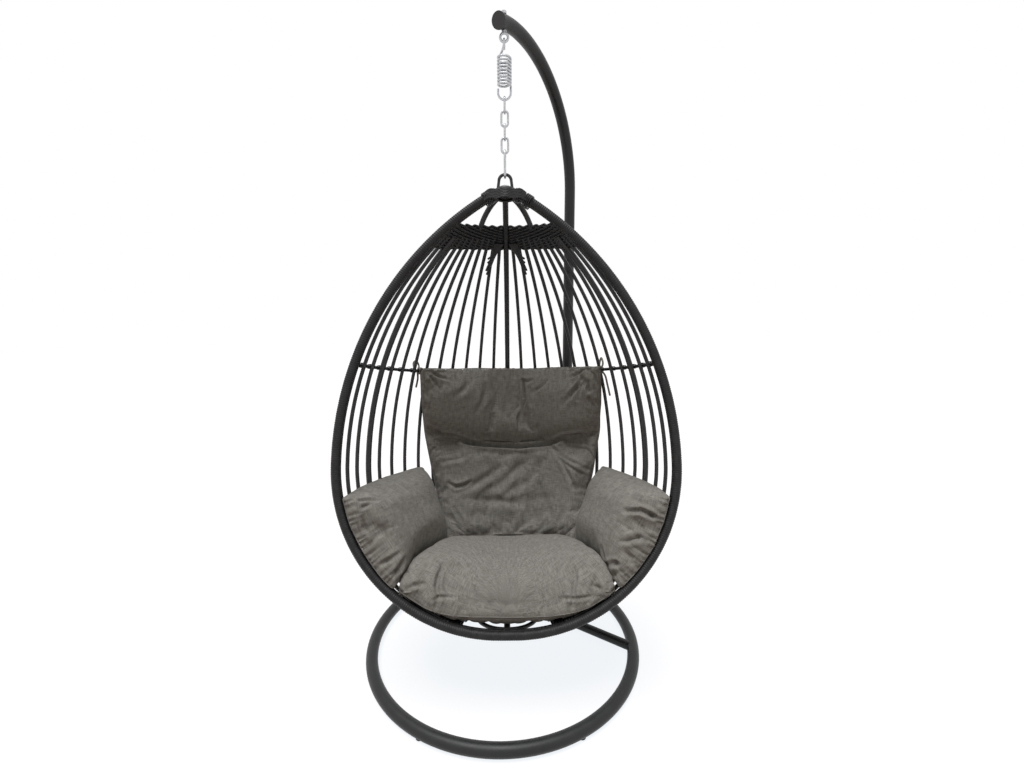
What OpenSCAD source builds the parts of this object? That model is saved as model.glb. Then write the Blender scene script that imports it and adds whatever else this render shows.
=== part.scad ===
// Hanging egg chair: a rib basket with four cushions, hung by a spring and
// a chain from a swan-neck arm on a ring base.
// Millimetres, +Z up, the sitter looks towards -Y. The origin is on the floor
// under the middle of the chair.

/* [Stand] */
// Outer diameter of the base, post and arm tube
tube_d = 38; // [34:0.5:44]
// Wall of the base, post and arm tube
tube_wall = 2; // [1.5:0.25:3]
// Radius of the base ring's middle line
ring_r = 440; // [420:1:480]
// Place of the post on the ring, turned from straight back
post_turn = 35; // [30:1:38]
// Direction in which the arm points, turned from straight ahead
arm_turn = 31; // [28:1:34]
// Height of the floor to the start of the arm's bend
bend_start = 1561; // [1520:1:1640]
// Radius of the arm's bend
arm_bend_r = 375; // [350:1:400]
// Level distance from the post to the hanging eye
arm_reach = 455; // [440:1:475]
// Length of arm that stands out past the hanging eye, along the bend
arm_overhang = 26; // [20:1:45]
// Outer diameter of the base's straight tubes
crossbar_d = 30; // [25:0.5:34]
// Distance from the ring's middle to the crossbar
crossbar_offset = 195; // [150:1:240]
// Height of the post stub's top above the floor
stub_top = 170; // [150:1:220]
// Height of the joint between lower post and arm
post_joint = 760; // [600:1:900]
// Length of each reduced tube end that slides into the next tube
swage_l = 80; // [60:1:100]
// Diameter of the bolts through the tubes
bolt_d = 8; // [6:1:10]
// Diameter of the arm's end cap
cap_d = 43; // [40:0.5:48]
// Diameter of the pads under the ring
glide_d = 22; // [18:1:32]
// Height of the ring's lowest line above the floor
glide_gap = 3; // [2:0.5:5]
// Number of pads under the ring
glide_n = 6; // [4:1:8]

/* [Suspension] */
// Wire diameter of the ring of the eye bolt
eye_wire = 7; // [6:0.5:8]
// Radius of the eye bolt's ring, to the wire's middle
eye_r = 11; // [11:0.5:14]
// Wire diameter of the spring
spring_wire = 6; // [5:0.25:6.5]
// Radius of the spring's coil, to the wire's middle
coil_r = 18; // [16:0.5:21]
// Number of turns of the spring
coil_turns = 8; // [6:1:10]
// Rise of one turn of the spring
coil_pitch = 8.7; // [7.5:0.1:10]
// Height of the spring's upper hook above the coil
hook_rise = 46; // [42:1:52]
// Radius of the spring's upper hook, to the wire's middle
hook_r = 9.5; // [9:0.5:12]
// Drop of the spring's lower hook below the coil
hook_drop = 40; // [36:1:50]
// Wire diameter of a chain link
link_wire = 6; // [5:0.25:6.5]
// Inner length of a chain link
link_inner = 36; // [32:0.5:42]
// Outer width of a chain link
link_w = 25; // [24:0.5:28]
// Wire diameter of the snap hook
snap_wire = 7; // [6:0.25:8]
// Outer length of the snap hook
snap_l = 80; // [74:1:90]
// Outer width of the snap hook
snap_w = 32; // [31:0.5:36]
// Rod diameter of the basket's eye
pod_eye_d = 9; // [8:0.25:9.5]
// Radius of the basket eye's bow, to the rod's middle
pod_eye_r = 18; // [16:0.5:20]
// Length of each leg of the basket's eye
pod_eye_leg = 42; // [38:1:46]
// Gap left between two pieces that hang in each other
hang_gap = 0.4; // [0.3:0.05:0.6]

/* [Basket] */
// Angle at which the basket leans back
pod_tilt = 14; // [10:0.5:16]
// Drop from the top of the basket's eye to the tip of the basket
pod_eye_drop = 46; // [42:1:52]
// Overall width of the basket
pod_w = 980; // [940:1:1000]
// Length of the basket from its tip down to its widest part
pod_up = 798; // [760:1:820]
// Length of the basket from its widest part down to its lowest edge
pod_low = 470; // [450:1:480]
// Depth of the basket behind the rim, to the middle of the ribs
pod_depth = 535; // [480:1:550]
// Diameter of the rim's front hoop, with its wrapping
rim_d = 26; // [22:0.5:28]
// Diameter of the rim's rear hoop
rear_hoop_d = 12; // [10:0.5:14]
// Distance of the rear hoop behind the front hoop
rear_hoop_step = 21.8; // [21.5:0.1:24]
// Distance of the rear hoop in from the front hoop
rear_hoop_in = 2.5; // [0:0.5:6]
// Diameter of a thin rib
rib_d = 12; // [9:0.5:12]
// Diameter of a thick rib
main_rib_d = 18; // [14:0.5:18]
// Diameter of the short stays at the tip and at the foot
stay_d = 12; // [9:0.5:12]
// Diameter of the two belts round the outside of the ribs
belt_d = 11; // [8:0.5:13]
// Distance from the tip down to the upper belt at the rim
upper_belt_s = 510; // [460:1:560]
// Rise of the upper belt from the rim to the back
upper_belt_rise = 22; // [0:1:40]
// Distance from the tip down to the lower belt at the rim
lower_belt_s = 904; // [860:1:940]
// Rise of the lower belt from the rim to the back
lower_belt_rise = 10; // [0:1:40]
// Thickness of the woven bands at the tip and at the foot
band_t = 16; // [14:0.5:18]
// Distance from the tip down to the upper edge of the crown band, at the rim
crown_band_top = 98; // [85:1:115]
// Distance from the tip down to the lower edge of the crown band, at the rim
crown_band_low = 172; // [150:1:190]
// Slope of the crown band, up towards the back
crown_band_slope = 18; // [10:1:22]
// Distance of the foot band's near edge from the middle of the foot
foot_band_near = 128; // [120:1:140]
// Distance of the foot band's far edge from the middle of the foot
foot_band_far = 192; // [180:1:220]
// Radius of the crown hub in which the rods meet
hub_r = 40; // [38:1:46]
// Number of thin ribs on each side
ribs_per_side = 11; // [11:1:11]

/* [Cushions] */
// Width of the seat cushion at its front
seat_w = 600; // [560:2:600]
// Length of the seat cushion, front to back
seat_l = 342; // [310:1:344]
// Height of the seat cushion's crown over its seam
seat_h = 72; // [50:1:76]
// Angle round the basket that the back cushion covers on each side, at its foot
back_half_turn = 40.5; // [34:0.5:40.5]
// Angle by which the back cushion is wider at its top, on each side
back_flare = 13; // [6:0.5:13]
// Distance from the tip down to the back cushion's top edge
back_top_s = 458; // [440:1:520]
// Distance from the tip down to the back cushion's lower edge
back_low_s = 1090; // [1060:1:1090]
// Thickness of the back cushion
back_t = 112; // [80:1:115]
// Distance from the back cushion's top edge to its cross crease
back_crease = 294; // [240:1:320]
// Thickness of an arm bolster at its inner end
bolster_t = 150; // [110:1:155]
// Angle by which the back cushion and both bolsters lie to the sitter's left
cushion_turn = 2.5; // [0:0.25:2.5]
// Gap between the ribs and the cushions
cushion_gap = 4; // [3:0.5:8]

/* [Hidden] */
$fn = 48;
// Segments of a whole turn of a bent tube or rod
arc_fn = 120;
// The arm's bend runs this angle on into the straight post
bend_lap = 0.02;
side_sign = [-1, 1];
side_word = ["left", "right"];

function rib_node(side, i) = str("rib_", side_word[side], "_", i);

// ---- stand ----
tube_r = tube_d / 2;
bore_d = tube_d - 2 * tube_wall;
slide_fit = 0.2;
swage_d = bore_d - 2 * slide_fit;
ring_z = glide_gap + tube_r;
// The hanging line is at x = 0 and the ring's middle at y = 0.
ring_x = -(ring_r * sin(post_turn) - arm_reach * sin(arm_turn));
hang_y = ring_r * cos(post_turn) - arm_reach * cos(arm_turn);
post_x = ring_x + ring_r * sin(post_turn);
post_y = ring_r * cos(post_turn);
// Angles along the arm's bend, from level at the post
eye_bend = acos(1 - arm_reach / arm_bend_r);
tip_bend = eye_bend + arm_overhang / arm_bend_r * 180 / PI;
arm_z_at_eye = bend_start + arm_bend_r * sin(eye_bend);
arm_half_drop = tube_r / sin(eye_bend);
arm_under_z = arm_z_at_eye - arm_half_drop;
arm_over_z = arm_z_at_eye + arm_half_drop;
bolt_fit = 0.1;
bolt_grip = tube_r + 0.1;
bolt_zs = [stub_top - 25, stub_top - 55, post_joint - 25, post_joint - 55];
vent_d = 8;
// The arm slopes at the eye, so collar and nut stand this far off the tube at its middle
nut_clear = 1.8;
eye_bolt_out = 10;

// ---- suspension, from the arm down ----
eye_collar = 4;
eye_ring_z = arm_under_z - eye_collar - eye_r - eye_wire / 2;
eye_bar_z = eye_ring_z - eye_r;
hook_top_z = eye_bar_z + (eye_wire + spring_wire) / 2 + hang_gap;
coil_top_z = hook_top_z - hook_rise;
coil_low_z = coil_top_z - coil_turns * coil_pitch;
u_bar_z = coil_low_z - hook_drop;
link_r = (link_w - link_wire) / 2;
link_pitch = link_inner - hang_gap;
link_half = link_inner / 2 + link_wire / 2;
link_1_z = u_bar_z + (spring_wire + link_wire) / 2 + hang_gap - link_half;
function link_z(k) = link_1_z - (k - 1) * link_pitch;
snap_r = (snap_w - snap_wire) / 2;
snap_half = snap_l / 2 - snap_wire / 2;
snap_top_z = link_z(4) - link_half + (link_wire + snap_wire) / 2 + hang_gap;
snap_z = snap_top_z - snap_half;
snap_low_z = snap_z - snap_half;
pod_bar_z = snap_low_z + (snap_wire + pod_eye_d) / 2 + hang_gap;
pod_tip_z = pod_bar_z + pod_eye_d / 2 - pod_eye_drop;
gate_y = snap_r;
gate_z = snap_z - snap_half + snap_r + 8;
gate_top_z = snap_z + snap_half - snap_r - 2;
gate_d = 5.6;
gate_pin_d = 2;
gate_pin_fit = 0.05;
// The gate turns on a flat tongue of the snap hook, inside the gate's fork
tongue_t = 2.4;
tongue_w = gate_d + 0.4;
tongue_drop = 4;
fork_gap = tongue_t + 0.4;

// ---- basket: x to the right, d straight back from the rim, s down the rim ----
rim_half = pod_w / 2 - rim_d / 2;
rim_low = pod_low - rim_d / 2;
tip_half = 15;
shell_half = rim_half - 10;
shell_k = pod_depth / shell_half;
shell_low = rim_low - 3;
ribs_to_back = ribs_per_side + 2;
side_rib_place = 3;
stay_turn = 50;

// Place i of a rib round the half ellipse, as an ellipse angle, spaced evenly
function rib_turn(i) = let (f = i / ribs_to_back)
    90 * f - 28.65 * (shell_k - 1) / (shell_k + 1) * sin(180 * f);
function thin_place(i) = i < side_rib_place ? i : i + 1;
// Half width of the rib at ellipse angle t, and the plane it lies in
function rib_half(t) = shell_half * sqrt(pow(cos(t), 2) + pow(shell_k * sin(t), 2));
function rib_plane(t) = atan2(shell_k * sin(t), cos(t));
// Radius of the long arc from the tip to the widest part, and its middle
function up_r(w) = (pow(w - tip_half, 2) + pow(pod_up, 2)) / (2 * (w - tip_half));
// Distance from the middle line at angle v: v < 0 on the upper arc, v > 0 on the lower arc
function prof_r(w, low, v, off = 0) = v < 0 ? w - up_r(w) + (up_r(w) + off) * cos(v)
                                            : w - low + (low + off) * cos(v);
function prof_s(w, low, v, off = 0) = pod_up + (v < 0 ? up_r(w) + off : low + off) * sin(v);
// Angle v at distance s down the basket, on the upper and on the lower arc
function v_at_s(w, low, s, off = 0) =
    s < pod_up ? -asin((pod_up - s) / (up_r(w) + off)) : asin((s - pod_up) / (low + off));
// Angle v where the upper arc is r from the middle line, and where the lower arc is
function v_top_at_r(w, r, off = 0) = -acos((r - w + up_r(w)) / (up_r(w) + off));
function v_low_at_r(w, low, r, off = 0) = acos((r - w + low) / (low + off));
// Angle v where the upper arc meets the sloping plane s + d * tan(slope) = s_rim
function v_at_plane(t, s_rim, slope) =
    let (w = rib_half(t), k = sin(rib_plane(t)) * tan(slope), q = up_r(w))
    asin((s_rim - pod_up - (w - q) * k) / (q * sqrt(1 + k * k))) - atan(k);

// ---- shared shapes ----
function mix(a, b, k) = a + (b - a) * k;

// A round bar bent along an arc in the XZ plane, from angle a0 to a1
module arc_bar(cx, cz, radius, a0, a1, d) {
    translate([cx, 0, cz]) rotate([90, 0, 0])
        rotate_extrude(angle = a1 - a0, start = a0, $fn = arc_fn)
            translate([radius, 0]) circle(d = d, $fn = 48);
}

// One surface from rings of points, all of one length, with both ends closed
module skin(rings) {
    n = len(rings[0]);
    m = len(rings);
    polyhedron(points = [for (ring = rings) for (p = ring) p],
        faces = concat(
            [for (i = [0:m - 2]) for (j = [0:n - 1]) each [
                [i * n + j, (i + 1) * n + j, i * n + (j + 1) % n],
                [i * n + (j + 1) % n, (i + 1) * n + j, (i + 1) * n + (j + 1) % n]]],
            [for (j = [1:n - 2]) [0, j, j + 1]],
            [for (j = [1:n - 2]) [(m - 1) * n, (m - 1) * n + j + 1, (m - 1) * n + j]]));
}

module in_pod() {
    translate([0, hang_y, pod_tip_z]) rotate([-pod_tilt, 0, 0]) children();
}

module at_post() {
    translate([post_x, post_y, 0]) rotate([0, 0, 90 - post_turn]) children();
}

module arm_frame() {
    // +X points from the post towards the hanging line
    translate([post_x, post_y, 0]) rotate([0, 0, -90 - arm_turn]) children();
}

// ---- stand ----
module ring_solid(d) {
    translate([ring_x, 0, ring_z]) rotate_extrude() translate([ring_r, 0]) circle(d = d);
}

module base_ring() {
    color("#3a3b3c") difference() {
        ring_solid(tube_d);
        ring_solid(bore_d);
        translate([post_x, post_y, ring_z]) cylinder(d = vent_d, h = tube_d);
    }
}

module base_axis() {
    // +X points from the ring's middle towards the post, at tube height
    translate([ring_x, 0, ring_z]) rotate([0, 0, 90 - post_turn]) children();
}

module crossbar_solid(d) {
    half = sqrt(pow(ring_r, 2) - pow(crossbar_offset, 2));
    base_axis() translate([crossbar_offset, half, 0]) rotate([90, 0, 0])
        cylinder(d = d, h = 2 * half);
}

module base_crossbar() {
    color("#3a3b3c") difference() {
        crossbar_solid(crossbar_d);
        crossbar_solid(crossbar_d - 2 * tube_wall);
        ring_solid(tube_d);
    }
}

module base_strut() {
    color("#3a3b3c") difference() {
        base_axis() translate([crossbar_offset, 0, 0]) rotate([0, 90, 0]) difference() {
            cylinder(d = crossbar_d, h = ring_r - crossbar_offset);
            cylinder(d = crossbar_d - 2 * tube_wall, h = ring_r - crossbar_offset);
        }
        crossbar_solid(crossbar_d);
        ring_solid(tube_d);
        translate([post_x, post_y, 0]) cylinder(d = tube_d, h = stub_top);
    }
}

module ring_glides() {
    color("#202020") difference() {
        for (i = [0:glide_n - 1])
            translate([ring_x, 0, 0]) rotate([0, 0, 360 / glide_n * i])
                translate([ring_r, 0, 0]) cylinder(d = glide_d, h = glide_gap * 2);
        ring_solid(tube_d);
    }
}

module bolt_bores() {
    for (z = bolt_zs) at_post() translate([0, 0, z]) rotate([90, 0, 0])
        cylinder(d = bolt_d + 2 * bolt_fit, h = 2 * tube_d, center = true);
}

module post_stub() {
    color("#3a3b3c") difference() {
        translate([post_x, post_y, ring_z]) cylinder(d = tube_d, h = stub_top - ring_z);
        translate([post_x, post_y, ring_z]) cylinder(d = bore_d, h = stub_top - ring_z);
        ring_solid(tube_d);
        bolt_bores();
    }
}

module lower_post() {
    body_top = post_joint - swage_l;
    color("#3a3b3c") difference() {
        union() {
            translate([post_x, post_y, stub_top - swage_l]) cylinder(d = swage_d, h = swage_l);
            translate([post_x, post_y, stub_top]) cylinder(d = tube_d, h = body_top - stub_top);
            translate([post_x, post_y, body_top]) cylinder(d = swage_d, h = swage_l);
        }
        translate([post_x, post_y, stub_top - swage_l])
            cylinder(d = swage_d - 2 * tube_wall, h = post_joint - stub_top + swage_l);
        bolt_bores();
    }
}

module arm_line(d) {
    arm_frame() {
        translate([0, 0, post_joint - swage_l])
            cylinder(d = d, h = bend_start - post_joint + swage_l);
        arc_bar(arm_bend_r, bend_start, arm_bend_r, 180 - tip_bend, 180 + bend_lap, d);
    }
}

module swan_arm() {
    color("#3a3b3c") difference() {
        arm_line(tube_d);
        arm_line(bore_d);
        translate([0, hang_y, arm_under_z - tube_d])
            cylinder(d = bolt_d + 2 * bolt_fit, h = 4 * tube_d);
        bolt_bores();
    }
}

module frame_bolts() {
    head_d = bolt_d * 1.75;
    head_h = bolt_d * 0.55;
    nut_h = bolt_d * 0.8;
    color("#55585a") for (z = bolt_zs) at_post() translate([0, 0, z]) rotate([90, 0, 0]) {
        translate([0, 0, -bolt_grip - nut_h - 2]) cylinder(d = bolt_d, h = 2 * bolt_grip + nut_h + 3);
        translate([0, 0, bolt_grip]) cylinder(d1 = head_d, d2 = head_d * 0.6, h = head_h, $fn = 32);
        translate([0, 0, -bolt_grip - nut_h]) cylinder(d = bolt_d * 1.8, h = nut_h, $fn = 6);
    }
}

module arm_end_cap() {
    plug_l = 14;
    rim_t = 4;
    color("#232425") arm_frame() translate([arm_bend_r, 0, bend_start])
        rotate([0, -(180 - tip_bend), 0]) translate([arm_bend_r, 0, 0]) {
            translate([0, 0, -rim_t]) cylinder(d = cap_d, h = rim_t);
            intersection() {
                cylinder(d = swage_d, h = plug_l);
                translate([-arm_bend_r, 0, 0]) rotate([90, 0, 0])
                    rotate_extrude(angle = 5) translate([arm_bend_r, 0]) circle(d = swage_d);
            }
        }
}

module eye_bolt() {
    color("#8d9092") {
        translate([0, hang_y, eye_ring_z]) rotate([90, 0, 0])
            rotate_extrude() translate([eye_r, 0]) circle(d = eye_wire);
        translate([0, hang_y, eye_ring_z + eye_r])
            cylinder(d = bolt_d, h = arm_over_z + eye_bolt_out - eye_ring_z - eye_r);
        translate([0, hang_y, arm_under_z - eye_collar])
            cylinder(d = bolt_d * 1.75, h = eye_collar - nut_clear);
    }
}

module eye_nut() {
    nut_h = bolt_d * 0.8;
    color("#8d9092") translate([0, hang_y, arm_over_z + nut_clear]) difference() {
        cylinder(d = bolt_d * 1.8, h = nut_h, $fn = 6);
        cylinder(d = bolt_d, h = nut_h);
    }
}

// ---- suspension ----
// Points of the spring's wire, from the tip of the upper hook to the tip of the lower hook
curl_rings = 8;
function bezier(a, b, c, d, n) = [for (i = [1:n]) let (u = i / n)
    pow(1 - u, 3) * a + 3 * pow(1 - u, 2) * u * b + 3 * (1 - u) * u * u * c + pow(u, 3) * d];
hook_mid_z = hook_top_z - hook_r;
u_mid_z = u_bar_z + coil_r;
hook_pts = concat(
    [[0, hook_r, hook_mid_z - 12], [0, hook_r, hook_mid_z - 6]],
    [for (a = [0:22.5:180]) [0, hook_r * cos(a), hook_mid_z + hook_r * sin(a)]]);
lead_pts = bezier([0, -hook_r, hook_mid_z], [0, -hook_r, hook_mid_z - 22],
    [-coil_r, 14, coil_top_z + 2], [-coil_r, 0, coil_top_z], 9);
coil_pts = [for (i = [1:coil_turns * curl_rings + curl_rings / 2]) let (a = 180 + 360 * i / curl_rings)
    [coil_r * cos(a), coil_r * sin(a), coil_top_z - coil_pitch * i / curl_rings]];
coil_end = coil_pts[len(coil_pts) - 1];
drop_pts = bezier(coil_end, coil_end + [0, 9, -1],
    [coil_r, 0, coil_end.z - 2], [coil_r, 0, coil_end.z - 13], 5);
u_pts = concat(
    [for (a = [0:-22.5:-180]) [coil_r * cos(a), 0, u_mid_z + coil_r * sin(a)]],
    [[-coil_r, 0, u_mid_z + 5], [-coil_r, 0, u_mid_z + 5 + spring_wire]]);
spring_pts = concat(hook_pts, lead_pts, coil_pts, drop_pts, u_pts);

function along(p, i) = let (a = p[max(i - 1, 0)], b = p[min(i + 1, len(p) - 1)]) (b - a) / norm(b - a);
function unit(v) = v / norm(v);
// A frame carried along the wire, so that its six sides don't twist
function carry(p, i, n) = i == len(p) ? [] :
    let (t = along(p, i), m = unit(n - (n * t) * t)) concat([m], carry(p, i + 1, m));
spring_frames = carry(spring_pts, 0, [1, 0, 0]);
spring_rings = [for (i = [0:len(spring_pts) - 1])
    let (m = spring_frames[i], b = cross(along(spring_pts, i), m))
    [for (j = [0:5]) spring_pts[i] + spring_wire / 2 * (m * cos(60 * j) + b * sin(60 * j))]];
// Least gap between stretches of the wire that lie more than half a turn apart
spring_gap = min([for (i = [0:len(spring_pts) - 1]) for (j = [i + 5:1:len(spring_pts) - 1])
    norm(spring_pts[i] - spring_pts[j])]) - spring_wire;

module spring() {
    echo(spring_least_gap = spring_gap);
    color("#b9bcc0") translate([0, hang_y, 0]) skin(spring_rings);
}

module link_shape() {
    straight = link_half - link_r;
    for (end = [0, 1]) rotate([0, 180 * end, 0]) arc_bar(0, straight, link_r, 0, 180, link_wire);
    for (x = [-link_r, link_r]) translate([x, 0, -straight]) cylinder(d = link_wire, h = 2 * straight);
}

module chain_link(k) {
    color("#a9acb0") translate([0, hang_y, link_z(k)]) rotate([0, 0, k % 2 == 1 ? 90 : 0]) link_shape();
}

module snap_hook() {
    straight = snap_half - snap_r;
    low_end = gate_z - tongue_drop - (snap_z - straight);
    high_end = snap_z + straight - gate_top_z;
    color("#a9acb0") difference() {
        union() {
            translate([0, hang_y, snap_z]) rotate([0, 0, 90]) {
                arc_bar(0, straight, snap_r, 0, 180, snap_wire);
                arc_bar(0, -straight, snap_r, 180, 360, snap_wire);
                translate([-snap_r, 0, -straight]) cylinder(d = snap_wire, h = 2 * straight);
                translate([snap_r, 0, -straight]) cylinder(d = snap_wire, h = low_end);
                translate([snap_r, 0, straight - high_end]) cylinder(d = snap_wire, h = high_end);
            }
            translate([-tongue_t / 2, hang_y + gate_y - tongue_w / 2, gate_z - tongue_drop - 1])
                cube([tongue_t, tongue_w, tongue_drop + 1]);
            translate([0, hang_y + gate_y, gate_z]) rotate([0, 90, 0])
                cylinder(d = tongue_w, h = tongue_t, center = true);
        }
        translate([0, hang_y + gate_y, gate_z]) rotate([0, 90, 0])
            cylinder(d = gate_pin_d + 2 * gate_pin_fit, h = snap_w, center = true);
    }
}

module snap_gate() {
    top_gap = 0.6;
    color("#c3c5c8") translate([0, hang_y + gate_y, gate_z]) difference() {
        union() {
            cylinder(d = gate_d, h = gate_top_z - top_gap - gate_z);
            rotate([0, 90, 0]) cylinder(d = gate_d, h = gate_d, center = true);
        }
        translate([-fork_gap / 2, -snap_wire, -snap_wire]) cube([fork_gap, 2 * snap_wire, 2 * snap_wire - 3]);
        rotate([0, 90, 0]) cylinder(d = gate_pin_d, h = snap_w, center = true);
    }
}

module gate_pin() {
    color("#8d9092") translate([0, hang_y + gate_y, gate_z]) rotate([0, 90, 0])
        cylinder(d = gate_pin_d, h = gate_d + 0.6, center = true);
}

// ---- basket ----
module pod_eye() {
    splay = 7;
    // The legs are a hair thinner than the bow, and start just inside its ends
    leg_d = pod_eye_d - 0.4;
    leg_in = 1;
    mid_z = pod_bar_z - pod_eye_r;
    color("#1c1d1e") translate([0, hang_y, 0]) {
        arc_bar(0, mid_z, pod_eye_r, splay, 180 - splay, pod_eye_d);
        for (side = side_sign)
            translate([side * pod_eye_r * cos(splay), 0, mid_z + pod_eye_r * sin(splay)])
                rotate([0, 180 - side * splay, 0]) translate([0, 0, -leg_in])
                    cylinder(d = leg_d, h = pod_eye_leg + leg_in);
    }
}

hub_top = -2;
hub_low = 22;
// The rods enter the hub this far from its middle
rod_start_r = 27;
stay_start_r = 16;
stay_start_drop = 10;
// Height of the crown stays' arch over its chord
crown_arch = 18;
// The stays run this far into the woven bands
stay_bite = 12;
foot_stay_start = 6;

module crown_hub() {
    color("#262728") in_pod() rotate_extrude() polygon([
        [0, hub_top], [hub_r * 0.6, hub_top], [hub_r * 0.9, mix(hub_top, -hub_low, 0.2)],
        [hub_r, mix(hub_top, -hub_low, 0.5)], [hub_r * 0.9, mix(hub_top, -hub_low, 0.85)],
        [hub_r * 0.7, -hub_low], [0, -hub_low]]);
}

module crown_cap() {
    cap_r = hub_r * 0.62;
    color("#8f9492") in_pod() translate([0, 0, hub_top]) rotate_extrude()
        polygon([[0, 0], [cap_r, 0], [cap_r, 2], [cap_r * 0.7, 5], [0, 6]]);
}

// A hoop or rib in the XZ plane between angles v0 and v1: above the widest part on the
// upper arc (v < 0), below it on the lower arc (v > 0)
module rib_arcs(w, low, v0, v1, off, d) {
    if (v0 < 0) arc_bar(w - up_r(w), -pod_up, up_r(w) + off, max(0, -v1), -v0, d);
    if (v1 > 0) arc_bar(w - low, -pod_up, low + off, -v1, min(0, -v0), d);
}

// Half a hoop of the rim with its flat foot, which reaches the middle
module rim_half_hoop(off, d, start_r) {
    rib_arcs(rim_half, rim_low, v_top_at_r(rim_half, start_r, off), 90, off, d);
    flat = rim_half - rim_low;
    translate([0, 0, -pod_up - rim_low - off]) rotate([0, 90, 0]) cylinder(d = d, h = flat);
}

module rim_front_hoop() {
    color("#2b2c2d") in_pod() for (side = side_sign)
        rotate([0, 0, side < 0 ? 180 : 0]) rim_half_hoop(0, rim_d, rod_start_r);
}

module rim_rear_hoop() {
    color("#242526") in_pod() translate([0, rear_hoop_step, 0]) for (side = side_sign)
        rotate([0, 0, side < 0 ? 180 : 0]) rim_half_hoop(-rear_hoop_in, rear_hoop_d, rod_start_r);
}

// A rib at ellipse angle t on one side, between two angles of its arcs
module rib_at(side, t, v0, v1, off, d) {
    in_pod() rotate([0, 0, side > 0 ? rib_plane(t) : 180 - rib_plane(t)])
        rib_arcs(rib_half(t), shell_low, v0, v1, off, d);
}

crown_band_mid = (crown_band_top + crown_band_low) / 2;
foot_band_mid = (foot_band_near + foot_band_far) / 2;
// The foot band widens with the basket's outline
function foot_r(t, r) = r * rib_half(t) / shell_half;
flush = (main_rib_d - rib_d) / 2;

module band_rib(side, t, off, d) {
    w = rib_half(t);
    rib_at(side, t, v_at_plane(t, crown_band_mid, crown_band_slope),
        v_low_at_r(w, shell_low, foot_r(t, foot_band_mid)), off, d);
}

module thin_rib(side, i) {
    color("#2a2b2c") band_rib(side, rib_turn(thin_place(i)), 0, rib_d);
}

module side_rib(side) {
    color("#2f3031") band_rib(side, rib_turn(side_rib_place), -flush, main_rib_d);
}

module centre_rib() {
    w = rib_half(90);
    color("#2f3031") {
        rib_at(1, 90, v_top_at_r(w, rod_start_r, -flush), 90, -flush, main_rib_d);
        in_pod() translate([0, 8, -pod_up - shell_low + flush]) rotate([-90, 0, 0])
            cylinder(d = main_rib_d, h = w - shell_low - 8);
    }
}

// Each crown stay leaves the hub level and arches over into the crown band
module crown_stays() {
    w = rib_half(stay_turn);
    v_end = v_at_plane(stay_turn, crown_band_top + stay_bite, crown_band_slope);
    a = [stay_start_r, -stay_start_drop];
    b = [prof_r(w, shell_low, v_end), -prof_s(w, shell_low, v_end)];
    chord = norm(b - a);
    radius = (pow(chord / 2, 2) + pow(crown_arch, 2)) / (2 * crown_arch);
    across = [a.y - b.y, b.x - a.x] / chord;
    centre = (a + b) / 2 - across * (radius - crown_arch);
    from = atan2(b.y - centre.y, b.x - centre.x);
    to = atan2(a.y - centre.y, a.x - centre.x);
    color("#2f3031") in_pod() for (side = side_sign)
        rotate([0, 0, side > 0 ? rib_plane(stay_turn) : 180 - rib_plane(stay_turn)])
            arc_bar(centre.x, centre.y, radius, from, to, stay_d);
}

// Each foot stay leaves the foot's middle along the rim and turns back into the foot band
module foot_stays() {
    w = rib_half(stay_turn);
    reach = foot_r(stay_turn, foot_band_near) + stay_bite;
    start_d = rear_hoop_step + (rear_hoop_d + stay_d) / 2 - 1;
    end_x = reach * cos(rib_plane(stay_turn)) - foot_stay_start;
    end_d = reach * sin(rib_plane(stay_turn)) - start_d;
    radius = (end_x * end_x + end_d * end_d) / (2 * end_d);
    rise = shell_low - sqrt(pow(shell_low, 2) - pow(reach - w + shell_low, 2));
    color("#2f3031") in_pod() for (side = [0, 1]) mirror([side, 0, 0])
        translate([foot_stay_start, start_d, -pod_up - shell_low]) rotate([atan2(rise, end_d), 0, 0])
            translate([0, radius, 0]) rotate_extrude(angle = 90 + asin((end_d - radius) / radius),
                start = -90, $fn = arc_fn) translate([radius, 0]) circle(d = stay_d);
}

// A point of the basket's surface, off millimetres outside it
function shell_pt(t, v, off = 0) = let (w = rib_half(t), r = prof_r(w, shell_low, v, off), a = rib_plane(t))
    [r * cos(a), r * sin(a), -prof_s(w, shell_low, v, off)];

// A woven band: one closed ring of points at each ellipse angle
function band_ring(t, v0, v1) = concat(
    [for (i = [0:3]) shell_pt(t, v0 + (v1 - v0) * i / 3, band_t / 2)],
    [for (i = [3:-1:0]) shell_pt(t, v0 + (v1 - v0) * i / 3, -band_t / 2)]);
band_end = 5;
band_turns = [for (i = [0:36]) band_end + (180 - 2 * band_end) * i / 36];

module crown_band() {
    color("#222328") in_pod() skin([for (t = band_turns) band_ring(t,
        v_at_plane(t, crown_band_top, crown_band_slope), v_at_plane(t, crown_band_low, crown_band_slope))]);
}

module foot_band() {
    function foot_v(t, r) = v_low_at_r(rib_half(t), shell_low, foot_r(t, r));
    color("#222328") in_pod()
        skin([for (t = band_turns) band_ring(t, foot_v(t, foot_band_far), foot_v(t, foot_band_near))]);
}

belt_fit = 0.6;
belt_rings = 52;
belt_end = 1.5;
// A belt lies on the outside of the ribs, with ten sides
function belt_ring(t, s) = let (
        v = v_at_s(rib_half(t), shell_low, s),
        n = unit([shell_k * cos(t), sin(t), 0]),
        c = shell_pt(t, v) + n * (rib_d / 2 / cos(v) + belt_d / 2 + belt_fit))
    [for (j = [0:9]) c + belt_d / 2 * (n * cos(36 * j) + [0, 0, 1] * sin(36 * j))];
function belt_rings_at(s, rise) = [for (i = [0:belt_rings - 1])
    let (t = belt_end + (180 - 2 * belt_end) * i / (belt_rings - 1)) belt_ring(t, s - rise * sin(t))];

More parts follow.
